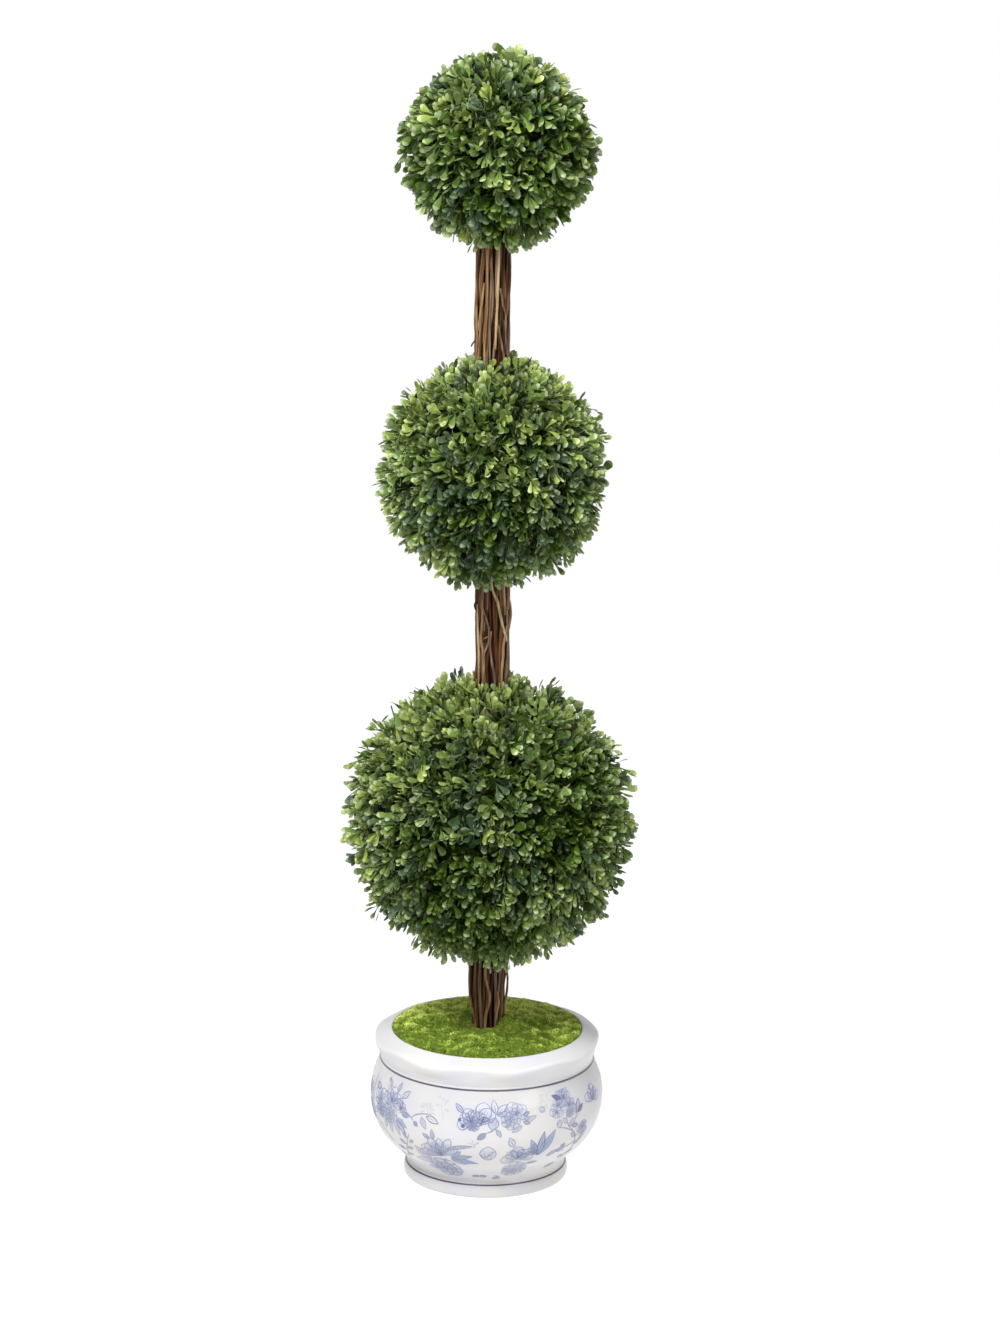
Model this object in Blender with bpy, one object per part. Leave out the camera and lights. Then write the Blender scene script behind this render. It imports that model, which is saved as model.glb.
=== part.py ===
"""Potted artificial topiary: three clipped leaf balls on a bundled-vine trunk, set in a glazed pot under moss.

Units are metres with +Z up. The pot stands on the ground plane and the trunk runs up the Z axis.
"""

import math
import random

import bmesh
import bpy
import numpy as np
from mathutils import Matrix, Vector
from mathutils.bvhtree import BVHTree

MM = 0.001
SEED = 41
CLEARANCE = 0.3 * MM
TURN = 2.0 * math.pi

# Pot: a turned shell, given as radius and height in millimetres from the foot up and over the lip
POT_SEGMENTS = 48
POT_OUTSIDE = (
    (82.0, 0.0),
    (86.0, 4.0),
    (85.6, 12.0),
    (82.4, 18.8),
    (88.4, 27.0),
    (103.3, 41.0),
    (112.4, 53.0),
    (119.2, 69.0),
    (122.2, 88.0),
    (120.2, 106.0),
    (115.2, 121.0),
    (110.2, 133.5),
    (115.2, 140.5),
    (117.8, 147.0),
    (117.2, 156.0),
    (110.6, 161.2),
    (104.0, 162.0),
    (100.2, 160.0),
)
POT_INSIDE = (
    (99.5, 155.0),
    (99.5, 146.0),
    (106.0, 129.0),
    (115.6, 100.0),
    (111.6, 66.0),
    (98.0, 44.0),
    (68.0, 23.0),
)
POT_FLOOR = 22.0
LIP_LOBES = 12
LIP_LOBE_DEPTH = 0.7
LIP_BAND = (137.0, 160.0)

# Filler: the set plaster and foam that weighs the pot down and grips the trunk
FILLER_TOP = 149.0
MOUTH_RADIUS = 99.5

# Moss: a low dome over the filler with a hole for the trunk
MOSS_EDGE_TOP = 154.5
MOSS_CROWN_TOP = 162.5
MOSS_RINGS = 4
MOSS_LUMP = 1.1

# Trunk: vines bound side by side, given as height and outer radius in millimetres
TRUNK_BASE = FILLER_TOP + 0.3
TRUNK_TIP = 1118.0
TRUNK_RADII = (
    (TRUNK_BASE, 18.2),
    (172.0, 18.8),
    (215.0, 20.6),
    (262.0, 20.6),
    (420.0, 19.0),
    (600.0, 17.9),
    (800.0, 17.9),
    (930.0, 18.3),
    (1060.0, 17.6),
    (TRUNK_TIP, 15.0),
)
TRUNK_RINGS = 18
TRUNK_LEAN = 1.2
VINE_COUNT = 18
VINE_SIDES = 3
VINE_OVERLAP = 1.1
VINE_TWIST = 1.3

# Loose strands crossing the bundle: low and high end, start angle, sweep and radius
STRANDS = (
    (168.0, 240.0, -0.30, 0.30, 2.4),
    (174.0, 236.0, -1.45, -0.55, 2.1),
    (546.0, 634.0, -0.55, -1.15, 2.1),
    (550.0, 622.0, -2.35, 0.85, 2.1),
    (884.0, 984.0, -1.30, -0.15, 2.3),
    (896.0, 972.0, 1.70, 0.80, 2.1),
)
STRAND_SIDES = 5
STRAND_RINGS = 6

# Balls: node name, centre height, reach of the leaf tips, number of sprigs and of leaves set in the core
BALLS = (
    ("ball_bottom", 389.0, 152.4, 31, 80),
    ("ball_middle", 760.0, 123.4, 22, 54),
    ("ball_top", 1093.5, 100.6, 17, 38),
)
CORE_SHARE = 0.885
CORE_DETAIL = 3
BORE_SEGMENTS = 20
FORK_SHARE = 0.95
TWIG_ROOT_RADIUS = 2.4
TWIG_TIP_RADIUS = 1.5
TWIG_SINK = 6.0
LEAF_SHARE = 0.29
LEAF_WIDTH_SHARE = 0.64
LEAF_THICKNESS = 1.6
LEAF_WIDEST_AT = 0.58
LEAF_SINK = 1.0
TWIG_LEAVES = (0.74, 0.86, 1.0)
TWIG_LEAF_TILT = (0.95, 1.4)
CORE_LEAF_TILT = (1.0, 1.25)
CORE_LEAF_SINK = 3.0
SHORTEST_LEAF = 0.5
LEAF_TRIES = 30
TRUNK_ROOM = 2.5
BALL_SOLVER = "MANIFOLD"

GREEN = (0.045, 0.13, 0.035)
MOSS_GREEN = (0.30, 0.38, 0.06)
BARK = (0.17, 0.095, 0.055)
GLAZE = (0.80, 0.80, 0.83)
PLASTER = (0.55, 0.53, 0.48)


def clear_scene():
    for obj in list(bpy.data.objects):
        bpy.data.objects.remove(obj, do_unlink=True)


def material(name, colour, roughness):
    made = bpy.data.materials.new(name)
    made.use_nodes = True
    shader = made.node_tree.nodes["Principled BSDF"]
    shader.inputs["Base Color"].default_value = (*colour, 1.0)
    shader.inputs["Roughness"].default_value = roughness
    made.diffuse_color = (*colour, 1.0)
    return made


def mesh_object(name, points, faces, collection=None):
    """An object from points in millimetres and faces as index lists, its normals facing out."""
    mesh = bpy.data.meshes.new(name)
    mesh.from_pydata([tuple(c * MM for c in p) for p in points], [], faces)
    work = bmesh.new()
    work.from_mesh(mesh)
    bmesh.ops.recalc_face_normals(work, faces=work.faces)
    work.to_mesh(mesh)
    work.free()
    obj = bpy.data.objects.new(name, mesh)
    (collection or bpy.context.scene.collection).objects.link(obj)
    return obj


def finish(obj, look, smooth):
    obj.data.materials.clear()
    obj.data.materials.append(look)
    for face in obj.data.polygons:
        face.use_smooth = smooth
        face.material_index = 0


def turned_points(profile, segments, radius_scale=None):
    """Rings of points round the Z axis for each (radius, height) of the profile."""
    points = []
    for radius, height in profile:
        for step in range(segments):
            angle = TURN * step / segments
            reach = radius
            if radius_scale:
                reach *= radius_scale(radius, height, angle)
            points.append((reach * math.cos(angle), reach * math.sin(angle), height))
    return points


def ring_faces(rings, segments):
    faces = []
    for ring in range(rings - 1):
        for step in range(segments):
            after = (step + 1) % segments
            low = ring * segments
            high = low + segments
            faces.append((low + step, low + after, high + after, high + step))
    return faces


def turned_solid(name, profile, segments, start_height, end_height, radius_scale=None):
    """A turned body closed on the axis at its first and last ring."""
    points = turned_points(profile, segments, radius_scale)
    faces = ring_faces(len(profile), segments)
    start = len(points)
    points.append((0.0, 0.0, start_height))
    points.append((0.0, 0.0, end_height))
    last = (len(profile) - 1) * segments
    for step in range(segments):
        after = (step + 1) % segments
        faces.append((start, after, step))
        faces.append((start + 1, last + step, last + after))
    return mesh_object(name, points, faces)


def lip_scale(radius, height, angle):
    """Soft lobes round the lip's outside, dying away above and below its band."""
    low, high = LIP_BAND
    if radius < 105.0 or not low < height < high:
        return 1.0
    weight = math.sin(math.pi * (height - low) / (high - low))
    return 1.0 + weight * LIP_LOBE_DEPTH * math.cos(LIP_LOBES * angle) / 118.0


def inside_radius(height):
    heights = [z for _, z in reversed(POT_INSIDE)]
    radii = [r for r, _ in reversed(POT_INSIDE)]
    return float(np.interp(height, heights, radii))


def make_pot():
    profile = POT_OUTSIDE + POT_INSIDE
    return turned_solid("pot", profile, POT_SEGMENTS, 0.0, POT_FLOOR, lip_scale)


def make_filler():
    """The pot's inside shape, drawn in along each wall's own normal by the clearance."""
    gap = CLEARANCE / MM
    wall = [p for p in POT_INSIDE if p[1] < FILLER_TOP]
    floor_point = (0.0, POT_FLOOR)
    outline = []
    for index, point in enumerate(wall):
        before = wall[index - 1] if index else (MOUTH_RADIUS, POT_INSIDE[0][1])
        after = wall[index + 1] if index + 1 < len(wall) else floor_point
        along = Vector((after[0] - before[0], after[1] - before[1])).normalized()
        inward = Vector((along.y, -along.x))
        outline.append((point[0] + inward.x * gap * 1.15, point[1] + inward.y * gap * 1.15))
    top = (inside_radius(FILLER_TOP) - gap, FILLER_TOP)
    profile = [top] + outline
    return turned_solid("filler", profile, POT_SEGMENTS, FILLER_TOP, POT_FLOOR + gap)


def trunk_radius(height):
    heights = [z for z, _ in TRUNK_RADII]
    radii = [r for _, r in TRUNK_RADII]
    return float(np.interp(height, heights, radii))


def moss_lumps(angle, share):
    """Low lumps over the moss, none at its inner and outer edge."""
    wave = math.sin(5 * angle + 9 * share) + math.cos(9 * angle - 6 * share)
    return MOSS_LUMP * 0.5 * wave * math.sin(math.pi * share)


def make_moss():
    """A ring of moss: up the hole's wall, over the domed top, down the rim's wall and back underneath."""
    gap = CLEARANCE / MM
    inner = trunk_radius(170.0) + gap
    outer = MOUTH_RADIUS - gap
    base = FILLER_TOP + gap
    points = []
    for step in range(POT_SEGMENTS):
        angle = TURN * step / POT_SEGMENTS
        loop = [(inner, base)]
        for ring in range(MOSS_RINGS + 1):
            share = ring / MOSS_RINGS
            radius = inner + (outer - inner) * share
            height = MOSS_CROWN_TOP + (MOSS_EDGE_TOP - MOSS_CROWN_TOP) * share**2
            loop.append((radius, height + moss_lumps(angle, share)))
        loop.append((outer, base))
        points += [(r * math.cos(angle), r * math.sin(angle), z) for r, z in loop]
    count = MOSS_RINGS + 3
    faces = []
    for step in range(POT_SEGMENTS):
        after = (step + 1) % POT_SEGMENTS
        for index in range(count):
            following = (index + 1) % count
            here = step * count
            there = after * count
            faces.append((here + index, there + index, there + following, here + following))
    return mesh_object("moss", points, faces)


def trunk_centre(height):
    """The trunk wanders a little off the axis between its base and its tip."""
    share = (height - TRUNK_BASE) / (TRUNK_TIP - TRUNK_BASE)
    return (
        TRUNK_LEAN * math.sin(TURN * share),
        0.5 * TRUNK_LEAN * math.sin(1.5 * TURN * share),
    )


def trunk_heights():
    return [
        TRUNK_BASE + (TRUNK_TIP - TRUNK_BASE) * ring / TRUNK_RINGS
        for ring in range(TRUNK_RINGS + 1)
    ]


def vine_bundle():
    """Angle and thickness share of each vine round the bundle."""
    rng = random.Random(SEED)
    thickness = [rng.uniform(0.82, 1.22) for _ in range(VINE_COUNT)]
    total = sum(thickness)
    bundle = []
    swept = 0.0
    for share in thickness:
        width = TURN * share / total
        bundle.append((swept + 0.5 * width, width))
        swept += width
    return bundle


def vine_ring(height, bundle):
    """One section through the bundle: a round back for every vine, with a groove on either side of it."""
    outer = trunk_radius(height)
    centre_x, centre_y = trunk_centre(height)
    turn = VINE_TWIST * (height - TRUNK_BASE) * MM
    points = []
    for angle, width in bundle:
        sine = math.sin(0.5 * width) * VINE_OVERLAP
        middle = outer / (1.0 + sine)
        radius = middle * sine
        for side in range(VINE_SIDES):
            offset = width * (side / VINE_SIDES - 0.5)
            across = middle * math.sin(offset)
            reach = middle * math.cos(offset) + math.sqrt(radius**2 - across**2)
            way = angle + offset + turn
            points.append(
                (centre_x + reach * math.cos(way), centre_y + reach * math.sin(way), height)
            )
    return points


def strand_tube(low, high, start, sweep, radius):
    """A tapered tube laid on the bundle, its two ends bent in so that they root in it."""
    rings = []
    for ring in range(STRAND_RINGS + 1):
        share = ring / STRAND_RINGS
        height = low + (high - low) * share
        angle = start + sweep * share
        rise = math.sin(math.pi * share) ** 0.5
        reach = trunk_radius(height) - 2.2 * radius + 1.9 * radius * rise
        centre_x, centre_y = trunk_centre(height)
        rings.append(
            (
                Vector((centre_x + reach * math.cos(angle), centre_y + reach * math.sin(angle), height)),
                radius * (0.7 + 0.3 * rise),
            )
        )
    points = []
    for index, (middle, size) in enumerate(rings):
        before = rings[max(index - 1, 0)][0]
        after = rings[min(index + 1, STRAND_RINGS)][0]
        along = (after - before).normalized()
        across = along.cross(Vector((middle.x, middle.y, 0.0))).normalized()
        out = across.cross(along)
        for side in range(STRAND_SIDES):
            angle = TURN * side / STRAND_SIDES
            points.append(tuple(middle + size * (across * math.cos(angle) + out * math.sin(angle))))
    faces = ring_faces(STRAND_RINGS + 1, STRAND_SIDES)
    faces.append(tuple(range(STRAND_SIDES)))
    last = STRAND_RINGS * STRAND_SIDES
    faces.append(tuple(last + side for side in range(STRAND_SIDES)))
    return points, faces


def fuse(target, collection, solver):
    """Joins every object of the collection to the target in one Boolean union, then removes them."""
    union = target.modifiers.new("join", "BOOLEAN")
    union.operation = "UNION"
    union.operand_type = "COLLECTION"
    union.collection = collection
    union.solver = solver
    apply_modifiers(target)
    for obj in list(collection.objects):
        bpy.data.objects.remove(obj, do_unlink=True)
    bpy.data.collections.remove(collection)


def apply_modifiers(obj):
    bpy.context.view_layer.update()
    graph = bpy.context.evaluated_depsgraph_get()
    made = bpy.data.meshes.new_from_object(obj.evaluated_get(graph))
    old = obj.data
    obj.modifiers.clear()
    obj.data = made
    bpy.data.meshes.remove(old)


def keep_outer_shell(obj):
    """Drops loose scraps and fills any hollow that fusing sealed in, so that one closed skin is left."""
    work = bmesh.new()
    work.from_mesh(obj.data)
    bmesh.ops.triangulate(work, faces=work.faces)
    bmesh.ops.remove_doubles(work, verts=work.verts, dist=1e-7)
    work.faces.ensure_lookup_table()
    waiting = set(work.faces)
    shells = []
    while waiting:
        front = [waiting.pop()]
        shell = list(front)
        while front:
            face = front.pop()
            for edge in face.edges:
                for other in edge.link_faces:
                    if other in waiting:
                        waiting.remove(other)
                        front.append(other)
                        shell.append(other)
        shells.append(shell)
    shells.sort(key=len, reverse=True)
    for scrap in shells[1:]:
        bmesh.ops.delete(work, geom=scrap, context="FACES")
    loose = [v for v in work.verts if not v.link_faces]
    bmesh.ops.delete(work, geom=loose, context="VERTS")
    work.to_mesh(obj.data)
    work.free()


def helpers(name):
    made = bpy.data.collections.new(name)
    bpy.context.scene.collection.children.link(made)
    return made


def make_trunk():
    """One solid for the whole bundle, cut flat at the filler and at its tip."""
    bundle = vine_bundle()
    points = []
    for height in trunk_heights():
        points += vine_ring(height, bundle)
    around = VINE_COUNT * VINE_SIDES
    faces = ring_faces(TRUNK_RINGS + 1, around)
    faces.append(tuple(range(around)))
    last = TRUNK_RINGS * around
    faces.append(tuple(last + side for side in range(around)))
    trunk = mesh_object("trunk", points, faces)
    strands = helpers("strands")
    for index, spec in enumerate(STRANDS):
        mesh_object(f"strand_{index}", *strand_tube(*spec), strands)
    fuse(trunk, strands, "EXACT")
    keep_outer_shell(trunk)
    return trunk


def even_directions(count, rng):
    """Directions spread evenly over the sphere, each nudged a little."""
    golden = math.pi * (3.0 - math.sqrt(5.0))
    found = []
    for index in range(count):
        height = 1.0 - 2.0 * (index + 0.5) / count
        flat = math.sqrt(1.0 - height * height)
        angle = golden * index
        way = Vector((flat * math.cos(angle), flat * math.sin(angle), height))
        nudge = Vector((rng.uniform(-1, 1), rng.uniform(-1, 1), rng.uniform(-1, 1)))
        found.append((way + nudge * 0.25 / math.sqrt(count)).normalized())
    return found


def leaf_points(root, way, out, length):
    """A leaf of eight faces: root, tip, two sides at its widest, and a point above and below."""
    across = way.cross(out).normalized() * (0.5 * LEAF_WIDTH_SHARE * length)
    thick = across.cross(way).normalized() * (0.5 * LEAF_THICKNESS)
    widest = root + way * (length * LEAF_WIDEST_AT)
    return [
        root - way * LEAF_SINK,
        root + way * length,
        widest + across,
        widest - across,
        widest + thick,
        widest - thick,
    ]


LEAF_FACES = (
    (0, 2, 4),
    (2, 1, 4),
    (1, 3, 4),
    (3, 0, 4),
    (2, 0, 5),
    (1, 2, 5),
    (3, 1, 5),
    (0, 3, 5),
)
TWIG_FACES = ((0, 1, 2), (3, 5, 4), (0, 3, 4, 1), (1, 4, 5, 2), (2, 5, 3, 0))


def twig_points(start, end, side_way):
    along = (end - start).normalized()
    across = along.cross(side_way).normalized()
    out = across.cross(along)
    points = []
    for middle, size in ((start, TWIG_ROOT_RADIUS), (end, TWIG_TIP_RADIUS)):
        for side in range(3):
            angle = TURN * side / 3
            points.append(middle + size * (across * math.cos(angle) + out * math.sin(angle)))
    return points


def clear_of_trunk(points):
    """True where neither a point nor the line from the first point to it comes near the trunk."""
    first = Vector(points[0])
    for point in points:
        for share in (0.25, 0.5, 0.75, 1.0):
            here = first.lerp(point, share)
            if not TRUNK_BASE - 5.0 < here.z < TRUNK_TIP + 5.0:
                continue
            if math.hypot(here.x, here.y) < trunk_radius(here.z) + TRUNK_LEAN + TRUNK_ROOM:
                return False
    return True


def skin(points, faces):
    return BVHTree.FromPolygons(points, faces, all_triangles=False)


def grow_twig(centre, reach, way, rng):
    """Points, start and fork of one twig, or None where it would touch the trunk."""
    side = way.cross(Vector((0.3, 0.5, 0.8))).normalized()
    side.rotate(Matrix.Rotation(rng.uniform(0, TURN), 3, way))
    bend = (way + side * rng.uniform(0.02, 0.08)).normalized()
    start = centre + way * (reach * CORE_SHARE - TWIG_SINK)
    fork = centre + bend * (reach * FORK_SHARE)
    points = twig_points(start, fork, side)
    return (points, start, fork) if clear_of_trunk(points) else None


def best_leaf(root, out, tilts, centre, reach, rng, grown, middles):
    """Of the leaves that pass through nothing already grown, the one that stands furthest from the rest."""
    side = out.cross(Vector((0.3, 0.5, 0.8))).normalized()
    best = None
    for _ in range(LEAF_TRIES):
        lean = side.copy()
        lean.rotate(Matrix.Rotation(rng.uniform(0, TURN), 3, out))
        leaf = grow_leaf(root, out, lean, rng.uniform(*tilts), centre, reach, rng)
        if leaf is None:
            continue
        middle = leaf[4]
        room = min((middle - other).length for other in middles) if middles else 1.0
        if best and room <= best[0]:
            continue
        leaf_skin = skin(leaf, LEAF_FACES)
        if not any(leaf_skin.overlap(other) for other in grown):
            best = (room, leaf, leaf_skin, middle)
    return best


def grow_leaf(root, out, lean, tilt, centre, reach, rng):
    """A leaf leaning away from its root, shortened to the ball's reach, or None where it has no room."""
    way = (out * math.cos(tilt) + lean * math.sin(tilt)).normalized()
    length = LEAF_SHARE * reach * rng.uniform(0.85, 1.0)
    tip_reach = reach * rng.uniform(0.975, 1.0)
    while length > SHORTEST_LEAF * LEAF_SHARE * reach:
        points = leaf_points(root, way, out, length)
        if all((p - centre).length <= tip_reach for p in points):
            return points if clear_of_trunk(points) else None
        length *= 0.95
    return None


def make_ball(name, height, reach, sprigs, core_leaves):
    """A core bored for the trunk, with twigs and leaves fused on so that they stand out of it on all sides."""
    rng = random.Random(f"{SEED} {name}")
    centre = Vector((0.0, 0.0, height))
    core = reach * CORE_SHARE
    ball = core_ball(name, centre, core, rng)
    growth = helpers(name + "_growth")
    ways = even_directions(sprigs, rng)
    twigs = [twig for twig in (grow_twig(centre, reach, way, rng) for way in ways) if twig]
    core_skin = skin([v.co / MM for v in ball.data.vertices], [tuple(f.vertices) for f in ball.data.polygons])
    grown = [core_skin]
    middles = []
    for number, twig in enumerate(twigs):
        mesh_object(f"{name}_twig_{number}", twig[0], TWIG_FACES, growth)
    seats = []
    for place in TWIG_LEAVES:
        for _, start, fork in twigs:
            along = (fork - start).normalized()
            seats.append((start.lerp(fork, place) - along * 0.6, along, TWIG_LEAF_TILT))
    for way in even_directions(core_leaves, rng):
        seats.append((centre + way * (core - CORE_LEAF_SINK), way, CORE_LEAF_TILT))
    for root, out, tilts in seats:
        on_core = tilts is CORE_LEAF_TILT
        solid = grown[1:] if on_core else grown
        found = best_leaf(root, out, tilts, centre, reach, rng, solid, middles)
        if found:
            _, leaf, leaf_skin, middle = found
            grown.append(leaf_skin)
            middles.append(middle)
            mesh_object(f"{name}_leaf_{len(middles)}", leaf, LEAF_FACES, growth)
    fuse(ball, growth, BALL_SOLVER)
    bore(ball, centre, core)
    keep_outer_shell(ball)
    return ball


def core_ball(name, centre, radius, rng):
    work = bmesh.new()
    bmesh.ops.create_icosphere(work, subdivisions=CORE_DETAIL, radius=radius)
    turn = Matrix.Rotation(rng.uniform(0, 1), 3, "X") @ Matrix.Rotation(rng.uniform(0, 1), 3, "Z")
    points = [centre + turn @ v.co for v in work.verts]
    faces = [[v.index for v in face.verts] for face in work.faces]
    work.free()
    return mesh_object(name, points, faces)


def bore(ball, centre, core):
    """Cuts the trunk's way through the core, following its wander, blind above its tip where it ends inside."""
    gap = CLEARANCE / MM
    low = centre.z - core - 5.0
    high = min(centre.z + core + 5.0, TRUNK_TIP + gap)
    between = [z for z in trunk_heights() if low + 1.0 < z < high - 1.0]
    points = []
    for height in [low, *between, high]:
        centre_x, centre_y = trunk_centre(height)
        radius = (trunk_radius(height) + gap) / math.cos(math.pi / BORE_SEGMENTS)
        for step in range(BORE_SEGMENTS):
            angle = TURN * step / BORE_SEGMENTS
            points.append(
                (centre_x + radius * math.cos(angle), centre_y + radius * math.sin(angle), height)
            )
    rings = len(between) + 2
    last = (rings - 1) * BORE_SEGMENTS
    faces = ring_faces(rings, BORE_SEGMENTS)
    faces.append(tuple(range(BORE_SEGMENTS)))
    faces.append(tuple(last + step for step in range(BORE_SEGMENTS)))
    cutter = mesh_object("bore", points, faces)
    cutter.hide_render = True
    cutter.display_type = "WIRE"
    cut = ball.modifiers.new("bore", "BOOLEAN")
    cut.operation = "DIFFERENCE"
    cut.object = cutter
    cut.solver = BALL_SOLVER
    apply_modifiers(ball)
    bpy.data.objects.remove(cutter, do_unlink=True)


def main():
    clear_scene()
    glaze = material("glaze", GLAZE, 0.2)
    plaster = material("plaster", PLASTER, 0.75)
    moss_look = material("moss", MOSS_GREEN, 0.75)
    bark = material("bark", BARK, 0.75)
    leaf = material("leaf", GREEN, 0.4)
    finish(make_pot(), glaze, True)
    finish(make_filler(), plaster, False)
    finish(make_moss(), moss_look, True)
    finish(make_trunk(), bark, False)
    for name, height, reach, sprigs, core_leaves in BALLS:
        finish(make_ball(name, height, reach, sprigs, core_leaves), leaf, False)


main()
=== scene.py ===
"""Looks for the potted artificial topiary: leaf balls, vine trunk, moss and a painted, glazed pot.

Lengths are in millimetres until a mesh is made. Everything rides on the one body.
"""

import math

import bpy
import numpy as np
from mathutils import Matrix, Vector


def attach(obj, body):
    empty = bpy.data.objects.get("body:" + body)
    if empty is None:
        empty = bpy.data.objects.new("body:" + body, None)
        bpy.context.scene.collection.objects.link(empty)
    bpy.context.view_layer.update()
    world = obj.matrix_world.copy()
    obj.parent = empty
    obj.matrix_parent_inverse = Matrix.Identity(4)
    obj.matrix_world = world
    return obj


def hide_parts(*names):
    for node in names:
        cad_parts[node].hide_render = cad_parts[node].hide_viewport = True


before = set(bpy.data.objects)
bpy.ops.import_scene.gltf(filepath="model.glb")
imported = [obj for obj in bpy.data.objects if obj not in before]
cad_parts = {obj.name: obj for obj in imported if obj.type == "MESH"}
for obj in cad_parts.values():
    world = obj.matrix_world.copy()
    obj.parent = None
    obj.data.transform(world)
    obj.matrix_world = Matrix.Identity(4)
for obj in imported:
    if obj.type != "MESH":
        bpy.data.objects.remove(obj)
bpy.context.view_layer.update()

MM = 0.001
TURN = 2.0 * math.pi
SEED = 41

# Camera fitted to the photograph
CAMERA_PLACE = (0.0, -5.5, 2.06)
CAMERA_LENS = 149.3
CAMERA_DOWN = 15.3
CAMERA_YAW = -0.09
CAMERA_ROLL = 0.73

# Studio lights: place, what they point at, width and power
LIGHTS = {
    "softbox": ((-0.9, -1.9, 3.2), (0.0, 0.0, 0.5), 1.8, 158.0),
    "fill": ((2.8, -2.6, 1.9), (0.0, 0.0, 0.3), 1.6, 34.0),
}
# The sky's strength at the horizon and overhead, and how high up the change ends
SKY_LOW = 1.0
SKY_HIGH = 0.28
SKY_FADE = 0.12
WHITE = (1.0, 1.0, 1.0, 1.0)
FLOOR_RADIUS = 2.3
FLOOR_BASE = 0.12
FLOOR_GLOW = 0.95

# Pot: outside and inside of the wall as radius and height
POT_STEPS = 240
POT_OUTSIDE = (
    (82, 0), (85.2, 1.4), (86.2, 6), (85.6, 12), (83, 17), (82.6, 20), (87, 25.4), (95, 33), (103.3, 41),
    (112.4, 53), (119.2, 69), (122, 86), (120.4, 106), (115.4, 121), (112.2, 130.6), (112.6, 134.5),
    (114.4, 139.5), (116.6, 145), (117.9, 149.6), (117.7, 152.2), (116.2, 154), (110, 157), (104, 159.6),
    (101.4, 160.6), (100.2, 160.2), (99.5, 157.5), (99.5, 146),
)
# Soft lobes of the rim's edge: how many, how far it dips and swells, one lobe's turn from the front
LIP_LOBES = 8
LIP_DIP = 1.4
LIP_SWELL = 0.6
LIP_TURN = -30.5
LIP_BAND = (138.0, 159.5)
GLAZE_COOL = (0.665, 0.663, 0.705)
GLAZE_WARM = (0.717, 0.7, 0.678)
# Painted light and shade on the glaze: how much of its colour it has by height, darker on the upper bowl
# where the softbox lights it most, fuller at the foot and rim
GLAZE_SHADE_BY_HEIGHT = (
    (0, 0.92), (16, 0.92), (26, 1), (72, 0.97), (104, 0.86), (128, 0.8), (136, 0.96), (160, 1),
)

# Painted pattern, laid on twice, front and back: each paint's lift off the glaze and its two shades
PATTERN_SIDES = (0.0, 180.0)
PAINTS = {
    "wash": (0.06, (0.55, 0.57, 0.655), (0.62, 0.62, 0.67)),
    "faint": (0.09, (0.46, 0.48, 0.51), (0.54, 0.54, 0.56)),
    "blue": (0.12, (0.42, 0.46, 0.59), (0.52, 0.54, 0.63)),
    "azure": (0.13, (0.27, 0.34, 0.53), (0.4, 0.45, 0.6)),
    "hatch": (0.16, (0.33, 0.35, 0.49), (0.44, 0.46, 0.57)),
    "line": (0.2, (0.21, 0.23, 0.36), (0.33, 0.35, 0.46)),
    "dark": (0.24, (0.12, 0.13, 0.24), (0.2, 0.21, 0.32)),
    "rule": (0.2, (0.085, 0.086, 0.125), (0.11, 0.11, 0.155)),
}
PAINT_STEP = 0.0025
PAINT_STEPS = 14
EDGE_WIDTH = 1.1
VEIN_WIDTH = 0.8
STEM_WIDTH = 1.2
# Bands painted right round: height and width
RULES = ((129.3, 1.9), (14.5, 1.6))
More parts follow.
